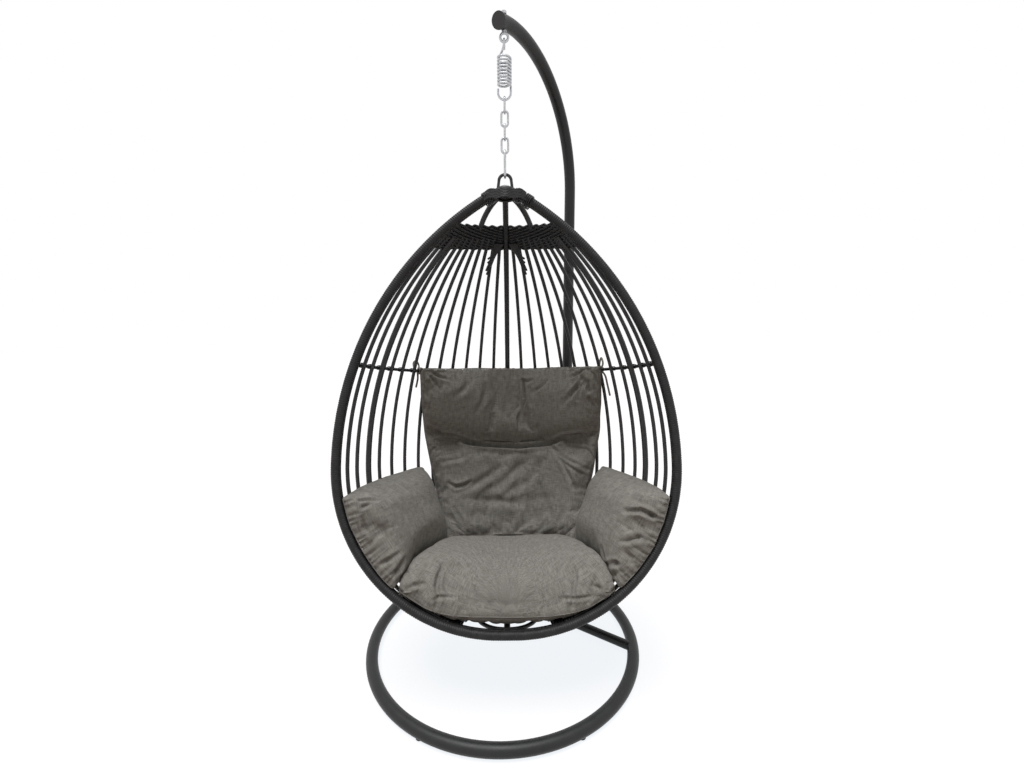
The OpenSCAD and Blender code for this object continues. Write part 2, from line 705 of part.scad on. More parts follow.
module upper_belt() {
    color("#262728") in_pod() skin(belt_rings_at(upper_belt_s, upper_belt_rise));
}

module lower_belt() {
    color("#262728") in_pod() skin(belt_rings_at(lower_belt_s, lower_belt_rise));
}

// ---- cushions ----
// Fullness of a stuffed cover, 0 at its sewn edge (u = -1 and 1) and 1 at its middle
function full(u, edge) = sqrt(1 - pow(abs(u), edge));
// Shares from 0 to 1, closer together at both ends
function eased(i, n) = 0.5 - 0.494 * cos(180 * i / n);
cushion_out = main_rib_d - rib_d / 2 + cushion_gap;
pad_across = 14;
pad_down = 20;
back_seam = 0.28;
bolster_seam = 0.14;

// A cushion that follows the ribs. place(a, k) gives the ellipse angle and the distance
// down the basket at the share a across and k down, thick(a, k) its thickness, and seam is
// the height of its sewn edge as a share of the thickness.
function pad_pt(place, thick, seam, a, k, inner) =
    let (p = place(a, k), f = full(2 * a - 1, 5) * full(2 * k - 1, 6),
         lift = seam + (inner ? (1 - seam) * f : -seam * f))
    shell_pt(p[0], v_at_s(rib_half(p[0]), shell_low, p[1]), -cushion_out - thick(a, k) * lift);
function pad_rings(place, thick, seam) = [for (j = [0:pad_down]) let (k = eased(j, pad_down)) concat(
    [for (i = [0:pad_across]) pad_pt(place, thick, seam, eased(i, pad_across), k, false)],
    [for (i = [pad_across - 1:-1:1]) pad_pt(place, thick, seam, eased(i, pad_across), k, true)])];

back_l = back_low_s - back_top_s;
crease_at = back_crease / back_l;
crease_rise = 57;
corner_drop = 18;
// The crease and the top edge bend towards the top corners and away from them
back_place = function (a, k) let (q = 2 * a - 1,
        half = back_half_turn + back_flare * max(0, 1 - k / 0.75))
    [90 - cushion_turn + half * q, back_top_s + back_l * k
        + q * q * (corner_drop * (1 - k) - crease_rise * pow(sin(180 * k), 2))];
crease_share = 0.42;
crease_reach = 0.045;
foot_thinning = 0.3;
back_thick = function (a, k) back_t * (1 - crease_share * exp(-pow((k - crease_at) / crease_reach, 2)))
    * (1 - foot_thinning * pow(k, 4));

module back_cushion() {
    color("#6f6a63") in_pod() skin(pad_rings(back_place, back_thick, back_seam));
}

// Corners of a bolster as ellipse angle and distance down: at the rim above and below,
// then at its inner end above and below
bolster_corners = [[0, 884], [0, 1126], [43, 834], [49, 1102]];
bolster_place = function (side) function (a, k) mix(mix(bolster_corners[0], bolster_corners[1], k),
    mix(bolster_corners[2], bolster_corners[3], k) - [side * cushion_turn, 0], a);
bolster_thick = function (a, k) bolster_t * (0.66 + 0.34 * a);

module bolster(side) {
    color("#77726a") in_pod() scale([side, 1, 1]) skin(pad_rings(bolster_place(side), bolster_thick, bolster_seam));
}

// Distance down the basket of its lining under the point x, d
lining_low = shell_low - cushion_out;
// Beside the foot band and near the rim the seat lies closer to the thin ribs
function share(a, from, to) = min(1, max(0, (a - from) / (to - from)));
function lining(x, d) = lining_low + flush * 2 * share(abs(x), 60, 160) * share(d, 80, 30);
function floor_s(x, d) = let (
        t = atan2(d / shell_k, abs(x)), flat = rib_half(t) - shell_low, r = norm([x, d]), q = lining(x, d))
    pod_up + (r < flat ? q : q * sin(acos(min(1, (r - flat) / q))));

seat_clear = 2;
// Half the width of the seat's rear edge as a share of the seat's width, and how far that
// edge lies to the right
seat_rear_half = 0.345;
seat_skew = 4;
seat_back_round = 0.2;
seat_front_lift = 48;
seat_back_lift = 24;
// The seat's front seam lifts off the rim's foot over this share of its half width
seat_bridge = 0.75;
// Seat point at the share q across (-1 to 1) and k back, on the seam's upper or lower side
function seat_pt(q, k, top) = let (
        x = seat_skew * k + q * mix(seat_w / 2, seat_w * seat_rear_half, pow(k, 1.4)),
        length = seat_l * (1 - seat_back_round * q * q),
        d = length * k,
        fq = full(q, 4.5),
        u = 2 * k - 1,
        low = floor_s(x, d) - seat_clear,
        front = floor_s(x, 0) - seat_clear,
        rear = floor_s(x, length) - seat_back_lift - seat_clear,
        seam = mix(front - seat_front_lift * max(0, 1 - pow(q / seat_bridge, 2)), rear, k),
        crown = mix(front - seat_front_lift * fq, rear, k) - seat_h * fq)
    [x, d, -(top ? mix(seam, crown, full(u, 6)) : mix(min(seam, low), low, full(u, u < 0 ? 20 : 8)))];
function seat_ring(q) = let (n = 16) concat(
    [for (i = [0:n]) seat_pt(q, eased(i, n), false)],
    [for (i = [n - 1:-1:1]) seat_pt(q, eased(i, n), true)]);
seat_across = 24;

module seat_cushion() {
    color("#75706a") in_pod() skin([for (j = [0:seat_across]) seat_ring(2 * eased(j, seat_across) - 1)]);
}

// ---- one line for each node ----
base_ring();
base_crossbar();
base_strut();
ring_glides();
post_stub();
lower_post();
swan_arm();
frame_bolts();
arm_end_cap();
eye_bolt();
eye_nut();
spring();
chain_link(1);  // link_1
chain_link(2);  // link_2
chain_link(3);  // link_3
chain_link(4);  // link_4
snap_hook();
snap_gate();
gate_pin();
pod_eye();
crown_cap();
crown_hub();
rim_front_hoop();
rim_rear_hoop();
centre_rib();
side_rib(-1);  // side_rib_left
side_rib(1);  // side_rib_right
for (side = [0, 1]) for (i = [1:ribs_per_side])
    thin_rib(side_sign[side], i);
crown_stays();
foot_stays();
crown_band();
foot_band();
upper_belt();
lower_belt();
seat_cushion();
back_cushion();
bolster(-1);  // bolster_left
bolster(1);  // bolster_right
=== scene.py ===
# Looks of the hanging egg chair: powder-coated stand, plated spring and chain, wicker
# basket and linen cushions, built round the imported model. Metres, in the model's frame.
import math
import bpy
import numpy as np
from mathutils import Matrix, Vector
from mathutils.bvhtree import BVHTree


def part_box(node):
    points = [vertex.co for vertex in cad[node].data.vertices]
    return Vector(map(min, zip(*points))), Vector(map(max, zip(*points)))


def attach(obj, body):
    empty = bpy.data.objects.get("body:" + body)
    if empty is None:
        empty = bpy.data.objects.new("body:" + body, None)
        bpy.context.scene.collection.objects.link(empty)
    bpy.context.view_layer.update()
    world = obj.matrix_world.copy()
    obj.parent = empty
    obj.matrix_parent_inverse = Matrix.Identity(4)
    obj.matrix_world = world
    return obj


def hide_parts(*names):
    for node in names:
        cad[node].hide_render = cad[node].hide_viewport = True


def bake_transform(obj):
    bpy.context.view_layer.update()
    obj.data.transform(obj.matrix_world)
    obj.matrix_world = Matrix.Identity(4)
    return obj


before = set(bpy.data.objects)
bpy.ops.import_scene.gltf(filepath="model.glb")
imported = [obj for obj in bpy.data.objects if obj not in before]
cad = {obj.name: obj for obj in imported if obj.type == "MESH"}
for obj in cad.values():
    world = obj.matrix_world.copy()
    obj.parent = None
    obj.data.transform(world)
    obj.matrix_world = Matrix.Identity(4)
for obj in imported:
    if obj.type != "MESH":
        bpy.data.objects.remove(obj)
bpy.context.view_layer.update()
scene = bpy.context.scene

# ---- Camera ----
# It stands in front of the chair at chest height, close to it, with a wide lens, and
# looks a little down.
camera_place = (0.0171, -1.5056, 1.1623)
camera_tip = math.radians(80.4)
camera_roll = math.radians(-0.29)
focal_length = 16.875
camera_data = bpy.data.cameras.new("camera")
camera_data.sensor_width = 36
camera_data.lens = focal_length
camera = bpy.data.objects.new("camera", camera_data)
camera.matrix_world = (Matrix.Translation(camera_place) @ Matrix.Rotation(camera_tip, 4, "X")
                       @ Matrix.Rotation(camera_roll, 4, "Z"))
scene.collection.objects.link(camera)
scene.camera = camera
scene.view_settings.view_transform = "Standard"


# ---- Studio ----
# A white floor that keeps the chair's shadow, an even, slightly warm sky, and one broad lamp
# from above and to the left. What the camera and the plated metal see past the chair is white.
def add_node(tree, kind, inputs=None, **settings):
    made = tree.nodes.new(kind)
    for key, value in settings.items():
        setattr(made, key, value)
    for key, value in (inputs or {}).items():
        if isinstance(value, bpy.types.NodeSocket):
            tree.links.new(value, made.inputs[key])
        else:
            made.inputs[key].default_value = value
    return made


def figure(tree, operation, a, b=0.0, c=0.0):
    return add_node(tree, "ShaderNodeMath", {0: a, 1: b, 2: c}, operation=operation).outputs[0]


def seen_directly(tree):
    ray = add_node(tree, "ShaderNodeLightPath").outputs
    seen = figure(tree, "MAXIMUM", ray["Is Camera Ray"], ray["Is Glossy Ray"])
    return figure(tree, "MAXIMUM", seen, ray["Is Transmission Ray"])


sky_light = 0.2
lamp_strength = 2.3
lamp_spread = math.radians(38)
lamp_tip = math.radians(13)
lamp_turn = math.radians(-28)
floor_half = 12.0
floor_warm = (0.27, 0.21, 0.17, 1)
floor_lift = (0.84, 0.875, 0.91, 1)

world = bpy.data.worlds.new("sky")
world.use_nodes = True
sky = world.node_tree
sky.nodes.clear()
white = add_node(sky, "ShaderNodeBackground", {"Color": (1, 1, 1, 1), "Strength": 1.0})
grey = add_node(sky, "ShaderNodeBackground", {"Color": (0.98, 1.0, 0.96, 1), "Strength": sky_light})
both = add_node(sky, "ShaderNodeMixShader", {0: seen_directly(sky), 1: grey.outputs[0], 2: white.outputs[0]})
add_node(sky, "ShaderNodeOutputWorld", {"Surface": both.outputs[0]})
scene.world = world

lamp_data = bpy.data.lights.new("lamp", "SUN")
lamp_data.energy = lamp_strength
lamp_data.angle = lamp_spread
lamp = bpy.data.objects.new("lamp", lamp_data)
lamp.matrix_world = Matrix.Rotation(lamp_turn, 4, "Z") @ Matrix.Rotation(lamp_tip, 4, "X")
scene.collection.objects.link(lamp)

floor_mesh = bpy.data.meshes.new("floor")
floor_mesh.from_pydata([(x * floor_half, y * floor_half, 0) for x, y in ((-1, -1), (1, -1), (1, 1), (-1, 1))],
                       [], [(0, 1, 2, 3)])
floor = bpy.data.objects.new("floor", floor_mesh)
scene.collection.objects.link(floor)
floor_paint = bpy.data.materials.new("floor_white")
floor_paint.use_nodes = True
tree = floor_paint.node_tree
tree.nodes.clear()
matt = add_node(tree, "ShaderNodeBsdfDiffuse", {"Color": floor_warm})
lift = add_node(tree, "ShaderNodeEmission", {"Color": floor_lift, "Strength": seen_directly(tree)})
lit = add_node(tree, "ShaderNodeAddShader", {0: matt.outputs[0], 1: lift.outputs[0]})
add_node(tree, "ShaderNodeOutputMaterial", {"Surface": lit.outputs[0]})
floor_mesh.materials.append(floor_paint)


# ---- Stand ----
# Bent and welded steel tubes: the ring, its crossbar and strut, the post and the arm.
# They are powder-coated satin charcoal, with the fine orange peel of that finish.
def new_finish(name):
    made = bpy.data.materials.new(name)
    made.use_nodes = True
    tree = made.node_tree
    return made, tree, tree.nodes["Principled BSDF"]


def noise_at(tree, place, scale, detail=2.0, rough=0.5):
    return add_node(tree, "ShaderNodeTexNoise", {"Vector": place, "Scale": scale, "Detail": detail,
                    "Roughness": rough}).outputs["Fac"]


def ramp_between(tree, share, low, high, start=0.0, end=1.0):
    made = add_node(tree, "ShaderNodeValToRGB", {"Fac": share})
    made.color_ramp.elements[0].position = start
    made.color_ramp.elements[1].position = end
    made.color_ramp.elements[0].color = (*low, 1)
    made.color_ramp.elements[1].color = (*high, 1)
    return made.outputs["Color"]


def range_of(tree, share, low, high, start=0.0, end=1.0):
    return add_node(tree, "ShaderNodeMapRange", {"Value": share, "From Min": start, "From Max": end,
                    "To Min": low, "To Max": high}).outputs["Result"]


def join(tree, shader, **sockets):
    for name, value in sockets.items():
        tree.links.new(value, shader.inputs[name.replace("_", " ")])


def bump_of(tree, height, depth):
    return add_node(tree, "ShaderNodeBump", {"Height": height, "Distance": depth, "Strength": 1.0}).outputs[0]


def powder_coat():
    made, tree, shader = new_finish("powder_coat")
    place = add_node(tree, "ShaderNodeTexCoord").outputs["Object"]
    peel = noise_at(tree, place, 900.0, 1.0)
    dust = noise_at(tree, place, 14.0, 4.0, 0.6)
    join(tree, shader,
         Base_Color=ramp_between(tree, dust, (0.0165, 0.0172, 0.0185), (0.0295, 0.0303, 0.0312), 0.3, 0.75),
         Roughness=range_of(tree, dust, 0.34, 0.5, 0.3, 0.7),
         Normal=bump_of(tree, peel, 0.00012))
    shader.inputs["Specular IOR Level"].default_value = 0.35
    return made


def coat(finish, *names):
    for name in names:
        node = cad[name]
        node.data.materials.clear()
        node.data.materials.append(finish)


coat(powder_coat(), "base_ring", "base_crossbar", "base_strut", "post_stub", "lower_post", "swan_arm")


# ---- Pads and arm end cap ----
# Black moulded plastic: six pads pressed on under the ring, and a plug in the arm's open
# end with a matt, faintly grained face.
def moulded_plastic(name, low, high, rough):
    made, tree, shader = new_finish(name)
    place = add_node(tree, "ShaderNodeTexCoord").outputs["Object"]
    grain = noise_at(tree, place, 1600.0, 2.0)
    cloud = noise_at(tree, place, 60.0, 3.0)
    join(tree, shader, Base_Color=ramp_between(tree, cloud, low, high, 0.3, 0.7),
         Roughness=range_of(tree, cloud, rough - 0.07, rough + 0.07, 0.3, 0.7),
         Normal=bump_of(tree, grain, 0.00008))
    return made


coat(moulded_plastic("black_plastic", (0.018, 0.018, 0.019), (0.03, 0.03, 0.031), 0.55), "ring_glides")
coat(moulded_plastic("dark_grey_plastic", (0.075, 0.076, 0.081), (0.105, 0.106, 0.112), 0.6), "arm_end_cap")


# ---- Bolts, eye bolt, chain and snap hook ----
# Bright zinc-plated steel: bent and welded wire, with a slightly cloudy plating that is
# duller where the pieces rub.
def zinc_plate():
    made, tree, shader = new_finish("zinc_plate")
    place = add_node(tree, "ShaderNodeTexCoord").outputs["Object"]
    cloud = noise_at(tree, place, 220.0, 4.0, 0.6)
    scratch = noise_at(tree, place, 2400.0, 2.0)
    shader.inputs["Metallic"].default_value = 1.0
    join(tree, shader, Base_Color=ramp_between(tree, cloud, (0.36, 0.37, 0.39), (0.66, 0.67, 0.69), 0.3, 0.7),
         Roughness=range_of(tree, cloud, 0.26, 0.44, 0.3, 0.7), Normal=bump_of(tree, scratch, 0.00004))
    return made


zinc = zinc_plate()
coat(zinc, "frame_bolts", "eye_bolt", "eye_nut", "link_1", "link_2", "link_3", "link_4", "snap_hook",
     "snap_gate", "gate_pin")


# ---- Spring ----
# A tension spring of plated wire: a small hook above, eight turns, and a wide U below, in
# one unbroken wire. It hangs by its hook in the eye bolt, and the first link hangs in its U.
def new_piece(name, mesh):
    piece = bpy.data.objects.new(name, mesh)
    scene.collection.objects.link(piece)
    return piece


def rod_tree():
    """Sweeps a round rod along each path, and winds it with strips or lays strands on it."""
    tree = bpy.data.node_groups.new("wound_rod", "GeometryNodeTree")
    tree.interface.new_socket("Geometry", in_out="OUTPUT", socket_type="NodeSocketGeometry")
    for name, kind in (("Geometry", "Geometry"), ("Radius", "Float"), ("Step", "Float"), ("Sides", "Int"),
                       ("Strip", "Float"), ("Relief", "Float"), ("Strands", "Float"), ("Group", "Float"),
                       ("Wound Share", "Float"), ("Material", "Material")):
        tree.interface.new_socket(name, in_out="INPUT", socket_type="NodeSocket" + kind)
    given = add_node(tree, "NodeGroupInput").outputs
    path = add_node(tree, "GeometryNodeMeshToCurve", {"Mesh": given["Geometry"]}).outputs[0]
    path = add_node(tree, "GeometryNodeResampleCurve", {"Curve": path, "Length": given["Step"]},
                    mode="LENGTH").outputs[0]
    spline = add_node(tree, "GeometryNodeSplineParameter").outputs
    along = add_node(tree, "GeometryNodeCaptureAttribute")
    along.capture_items.new("FLOAT", "Run")
    tree.links.new(path, along.inputs["Geometry"])
    tree.links.new(spline["Length"], along.inputs["Run"])
    circle = add_node(tree, "GeometryNodeCurvePrimitiveCircle",
                      {"Resolution": given["Sides"], "Radius": given["Radius"]}).outputs[0]
    around = add_node(tree, "GeometryNodeCaptureAttribute")
    around.capture_items.new("FLOAT", "Turn")
    tree.links.new(circle, around.inputs["Geometry"])
    tree.links.new(spline["Factor"], around.inputs["Turn"])
    rod = add_node(tree, "GeometryNodeCurveToMesh", {"Curve": along.outputs["Geometry"],
                   "Profile Curve": around.outputs["Geometry"], "Fill Caps": True}).outputs[0]
    run, turn = along.outputs["Run"], around.outputs["Turn"]

    def hump(place):
        share = figure(tree, "FRACT", place)
        rise = figure(tree, "MULTIPLY", share, figure(tree, "SUBTRACT", 1.0, share))
        return figure(tree, "SUBTRACT", figure(tree, "POWER", figure(tree, "MULTIPLY", rise, 4.0), 0.6), 1.0)

    coil_place = figure(tree, "SUBTRACT", figure(tree, "DIVIDE", run, given["Strip"]), turn)
    strand_place = figure(tree, "MULTIPLY", turn, given["Strands"])
    group_place = figure(tree, "FRACT", figure(tree, "DIVIDE", run, given["Group"]))
    wound = figure(tree, "LESS_THAN", group_place, given["Wound Share"])
    coil_rise = figure(tree, "MULTIPLY", wound, hump(coil_place))
    strand_rise = figure(tree, "SUBTRACT", hump(strand_place), 0.9)
    strand_rise = figure(tree, "MULTIPLY", figure(tree, "SUBTRACT", 1.0, wound), strand_rise)
    rise = figure(tree, "MULTIPLY", figure(tree, "ADD", coil_rise, strand_rise), given["Relief"])
    normal = add_node(tree, "GeometryNodeInputNormal").outputs[0]
    offset = add_node(tree, "ShaderNodeVectorMath", {0: normal, "Scale": rise}, operation="SCALE").outputs[0]
    rod = add_node(tree, "GeometryNodeSetPosition", {"Geometry": rod, "Offset": offset}).outputs[0]
    strip = figure(tree, "ADD", figure(tree, "MULTIPLY", wound, figure(tree, "FLOOR", coil_place)),
                   figure(tree, "FLOOR", strand_place))
    tone = add_node(tree, "ShaderNodeTexWhiteNoise", {"W": strip}, noise_dimensions="1D").outputs["Value"]
    rod = add_node(tree, "GeometryNodeStoreNamedAttribute", {"Geometry": rod, "Name": "tone", "Value": tone},
                   data_type="FLOAT", domain="POINT").outputs[0]
    rod = add_node(tree, "GeometryNodeSetShadeSmooth", {"Geometry": rod}).outputs[0]
    rod = add_node(tree, "GeometryNodeRealizeInstances", {"Geometry": rod}).outputs[0]
    rod = add_node(tree, "GeometryNodeSetMaterial", {"Geometry": rod, "Material": given["Material"]})
    add_node(tree, "NodeGroupOutput", {"Geometry": rod.outputs[0]})
    return tree


wound_rod = rod_tree()


def sweep(name, paths, closed=False, **inputs):
    """A rod along each path, made a plain mesh."""
    points, edges = [], []
    for path in paths:
        first = len(points)
        points += [tuple(p) for p in path]
        edges += [(i, i + 1) for i in range(first, len(points) - 1)]
        if closed:
            edges.append((len(points) - 1, first))
    lines = bpy.data.meshes.new(name)
    lines.from_pydata(points, edges, [])
    piece = new_piece(name, lines)
    modifier = piece.modifiers.new("rod", "NODES")
    modifier.node_group = wound_rod
    values = {"Strip": 1.0, "Relief": 0.0, "Strands": 1.0, "Group": 1000.0, "Wound Share": 1.0, **inputs}
    for item in wound_rod.interface.items_tree:
        key = item.name.replace(" ", "_")
        if item.in_out == "INPUT" and (item.name in values or key in values):
            modifier[item.identifier] = values.get(item.name, values.get(key))
    graph = bpy.context.evaluated_depsgraph_get()
    made = bpy.data.meshes.new_from_object(piece.evaluated_get(graph), preserve_all_data_layers=True,
                                           depsgraph=graph)
    piece.modifiers.remove(modifier)
    piece.data = made
    bpy.data.meshes.remove(lines)
    made.name = name
    return piece


def bezier(a, b, c, d, count):
    u = np.linspace(0, 1, count + 1)[1:, None]
    return (1 - u) ** 3 * a + 3 * (1 - u) ** 2 * u * b + 3 * (1 - u) * u * u * c + u ** 3 * d


spring_wire_r = 0.003
coil_r = 0.018
coil_turns = 8
coil_pitch = 0.0087
hook_r = 0.0095
hook_rise = 0.046
hook_drop = 0.040

eye_low, eye_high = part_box("pod_eye")
hang_y = (eye_low.y + eye_high.y) / 2
spring_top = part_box("spring")[1].z - spring_wire_r
coil_top = spring_top - hook_rise
coil_low = coil_top - coil_turns * coil_pitch
hook_mid = spring_top - hook_r
u_mid = coil_low - hook_drop + coil_r


def spring_path():
    a = np.radians(np.arange(0, 181, 9))
    tip = [[0, hook_r, hook_mid - 0.012], [0, hook_r, hook_mid - 0.006]]
    hook = np.stack([0 * a, hook_r * np.cos(a), hook_mid + hook_r * np.sin(a)], 1)
    lead = bezier(np.array([0, -hook_r, hook_mid]), np.array([0, -hook_r, hook_mid - 0.022]),
                  np.array([-coil_r, 0.014, coil_top + 0.002]), np.array([-coil_r, 0, coil_top]), 14)
    a = np.arange(1, coil_turns * 32 + 17) / 32
    turn = np.pi + 2 * np.pi * a
    coil = np.stack([coil_r * np.cos(turn), coil_r * np.sin(turn), coil_top - coil_pitch * a], 1)
    end = coil[-1]
    drop = bezier(end, end + [0, 0.009, -0.001], np.array([coil_r, 0, end[2] - 0.002]),
                  np.array([coil_r, 0, end[2] - 0.013]), 8)
    a = np.radians(np.arange(0, -181, -9))
    bow = np.stack([coil_r * np.cos(a), 0 * a, u_mid + coil_r * np.sin(a)], 1)
    tail = [[-coil_r, 0, u_mid + 0.005], [-coil_r, 0, u_mid + 0.011]]
    return np.concatenate([tip, hook, lead, coil, drop, bow, tail]) + [0, hang_y, 0]


spring = sweep("spring_coil", [spring_path()], Radius=spring_wire_r, Step=0.0022, Sides=12, Material=zinc)
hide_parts("spring")
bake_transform(spring)


# ---- Basket eye ----
# A bent round steel bar, painted gloss black. Its legs run down through the cap and are
# welded to the rods in the crown.
def gloss_paint():
    made, tree, shader = new_finish("black_gloss")
    place = add_node(tree, "ShaderNodeTexCoord").outputs["Object"]
    cloud = noise_at(tree, place, 120.0, 3.0)
    join(tree, shader,
         Base_Color=ramp_between(tree, cloud, (0.012, 0.012, 0.013), (0.022, 0.022, 0.023), 0.3, 0.7),
         Roughness=range_of(tree, cloud, 0.2, 0.34, 0.3, 0.7), Normal=bump_of(tree, cloud, 0.0002))
    return made


coat(gloss_paint(), "pod_eye")


# ---- Wicker ----
# Solid round resin strips, extruded in charcoal with a faint lengthwise grain, wound tight
# round every rod of the basket.
def wicker_resin(name, low, high, shine):
    made, tree, shader = new_finish(name)
    place = add_node(tree, "ShaderNodeTexCoord").outputs["Object"]
    tone = add_node(tree, "ShaderNodeAttribute", attribute_name="tone").outputs["Fac"]
    cloud = noise_at(tree, place, 35.0, 3.0)
    grain = noise_at(tree, place, 1300.0, 2.0)
    share = figure(tree, "ADD", figure(tree, "MULTIPLY", tone, 0.45), figure(tree, "MULTIPLY", cloud, 0.55))
    join(tree, shader, Base_Color=ramp_between(tree, share, low, high, 0.15, 0.85),
         Roughness=range_of(tree, grain, 0.36, 0.54, 0.3, 0.7), Normal=bump_of(tree, grain, 0.00008))
    shader.inputs["Specular IOR Level"].default_value = shine
    return made


rib_wicker = wicker_resin("wicker_charcoal", (0.014, 0.0138, 0.0148), (0.034, 0.0333, 0.0345), 0.45)
rim_wicker = wicker_resin("wicker_rim", (0.0125, 0.0122, 0.0128), (0.032, 0.0312, 0.032), 0.28)

# ---- Outline of the basket ----
# The basket's frame has x across, d straight back from the rim and s down from the tip, and
# leans back. Each rod is an upper arc of long radius and a lower arc of short radius.
tilt = math.radians(14)
tip_z = eye_high.z - 0.046
pod_up = 0.798
tip_half = 0.015
rim_half = 0.477
rim_low = 0.457
rim_r = 0.013
rear_step = 0.0218
rear_in = 0.0025
rear_r = 0.006
shell_half = 0.467
shell_k = 0.535 / 0.467
shell_low = 0.454
rib_r = 0.006
main_rib_r = 0.009
rib_count = 11
back_rib = rib_count + 2
side_rib_place = 3
flush = main_rib_r - rib_r
band_slope = math.tan(math.radians(18))


def mix(a, b, k):
    return a + (b - a) * k


def in_basket(points):
    x, d, s = np.moveaxis(np.asarray(points, float), -1, 0)
    return np.stack([x, hang_y + d * math.cos(tilt) - s * math.sin(tilt),
                     tip_z - d * math.sin(tilt) - s * math.cos(tilt)], -1)


def from_basket(points):
    x, y, z = np.moveaxis(np.asarray(points, float), -1, 0)
    y, z = y - hang_y, z - tip_z
    back, down = y * math.cos(tilt) - z * math.sin(tilt), -y * math.sin(tilt) - z * math.cos(tilt)
    return np.stack([x, back, down], -1)


def rib_turn(place):
    """Ellipse angle of the rib at a place from 0 at one rim to 26 at the other."""
    share = np.minimum(place, 2 * back_rib - place) / back_rib
    turn = np.radians(90 * share - 28.65 * (shell_k - 1) / (shell_k + 1) * np.sin(np.pi * share))
    return np.where(np.asarray(place) <= back_rib, turn, np.pi - turn)


def rib_half(turn):
    return shell_half * np.sqrt(np.cos(turn) ** 2 + (shell_k * np.sin(turn)) ** 2)


def rib_plane(turn):
    return np.arctan2(shell_k * np.sin(turn), np.cos(turn))


def upper_r(w):
    return ((w - tip_half) ** 2 + pod_up ** 2) / (2 * (w - tip_half))


def arc_point(w, low, v, off=0.0):
    """Distance from the middle line and distance down at angle v, negative on the upper arc."""
    radius = np.where(v < 0, upper_r(w), low)
    return w - radius + (radius + off) * np.cos(v), pod_up + (radius + off) * np.sin(v)


def angle_at_depth(w, low, s, off=0.0):
    upper = -np.arcsin(np.clip((pod_up - s) / (upper_r(w) + off), -1, 1))
    return np.where(s < pod_up, upper, np.arcsin(np.clip((s - pod_up) / (low + off), -1, 1)))


def top_angle(w, r, off=0.0):
    return -np.arccos(np.clip((r - w + upper_r(w)) / (upper_r(w) + off), -1, 1))


def foot_angle(w, low, r, off=0.0):
    return np.arccos(np.clip((r - w + low) / (low + off), -1, 1))


def crown_angle(turn, s_rim):
    """Angle at which a rib meets the plane that slopes up towards the back from s_rim."""
    w = rib_half(turn)
    k = np.sin(rib_plane(turn)) * band_slope
    q = upper_r(w)
    return np.arcsin((s_rim - pod_up - (w - q) * k) / (q * np.sqrt(1 + k * k))) - np.arctan(k)


def shell_point(turn, v, off=0.0):
    r, s = arc_point(rib_half(turn), shell_low, v, off)
    a = rib_plane(turn)
    return np.stack([r * np.cos(a), r * np.sin(a), s], -1)


# ---- Rim ----
# The front hoop is a steel tube under lengthwise strands of wicker, held down every few
# centimetres by three or four turns of the same strip. The rear hoop is wound all along.
rod_start = 0.027


def on_basket(piece, *nodes):
    """A wicker piece, which rides on the basket and stands for these nodes."""
    if nodes:
        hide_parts(*nodes)
    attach(piece, "basket")


def hoop_path(off, d):
    v = np.linspace(top_angle(rim_half, rod_start, off), np.pi / 2, 260)
    r, s = arc_point(rim_half, rim_low, v, off)
    half = np.stack([r, np.full_like(r, d), s], 1)
    return in_basket(np.concatenate([half, half[::-1] * [-1, 1, 1]]))


rim_hoop = sweep("rim_front", [hoop_path(0.0, 0.0)], Radius=rim_r, Step=0.0015, Sides=42, Strip=0.0062,
                 Relief=0.0019, Strands=12.0, Group=0.062, Wound_Share=0.34, Material=rim_wicker)
rear_hoop = sweep("rim_rear", [hoop_path(-rear_in, rear_step)], Radius=rear_r, Step=0.0016,
                  Sides=10, Strip=0.0056, Relief=0.0009, Material=rim_wicker)
on_basket(rim_hoop, "rim_front_hoop")
on_basket(rear_hoop, "rim_rear_hoop")


# ---- Ribs and stays ----
# Thin steel rods wound with one strip each: eleven on each side, two thicker ones at the
# sides and one at the back, and short stays that make the arches at the crown and the foot.
crown_edges = (0.098, 0.172)
foot_edges = (0.128, 0.192)
crown_mid = sum(crown_edges) / 2
foot_mid = sum(foot_edges) / 2
stay_turn = math.radians(50)


def foot_reach(turn, r):
    return r * rib_half(turn) / shell_half


def rib_path(turn, v0, v1, off):
    return in_basket(shell_point(turn, np.linspace(v0, v1, 90), off))


def band_rib_path(turn, off=0.0):
    foot_v = foot_angle(rib_half(turn), shell_low, foot_reach(turn, foot_mid))
    return rib_path(turn, crown_angle(turn, crown_mid), foot_v, off)


thin_places = [i for i in range(1, back_rib) if i != side_rib_place]
# Seen from the front, the turn is 180 degrees at the left rim and 0 at the right one
for word, sign in (("left", -1), ("right", 1)):
    turns = [float(rib_turn(np.array(i if sign > 0 else 2 * back_rib - i))) for i in thin_places]
    ribs = sweep("ribs_" + word, [band_rib_path(turn) for turn in turns], Radius=rib_r, Step=0.0019, Sides=10,
                 Strip=0.0055, Relief=0.0009, Material=rib_wicker)
    on_basket(ribs, *[f"rib_{word}_{i}" for i in range(1, rib_count + 1)])

side_turn = float(rib_turn(np.array(side_rib_place)))
side_paths = [band_rib_path(turn, -flush) for turn in (side_turn, math.pi - side_turn)]
side_ribs = sweep("ribs_thick", side_paths, Radius=main_rib_r, Step=0.0019, Sides=14, Strip=0.006,
                  Relief=0.001, Material=rib_wicker)
on_basket(side_ribs, "side_rib_left", "side_rib_right")

back_half = float(rib_half(math.pi / 2))
back_path = rib_path(math.pi / 2, float(top_angle(back_half, rod_start, -flush)), math.pi / 2, -flush)
back_foot = in_basket([[0, 0.008, pod_up + shell_low - flush]])
centre_rib = sweep("rib_back", [np.concatenate([back_path, back_foot])], Radius=main_rib_r, Step=0.0019,
                   Sides=14, Strip=0.006, Relief=0.001, Material=rib_wicker)
on_basket(centre_rib, "centre_rib")

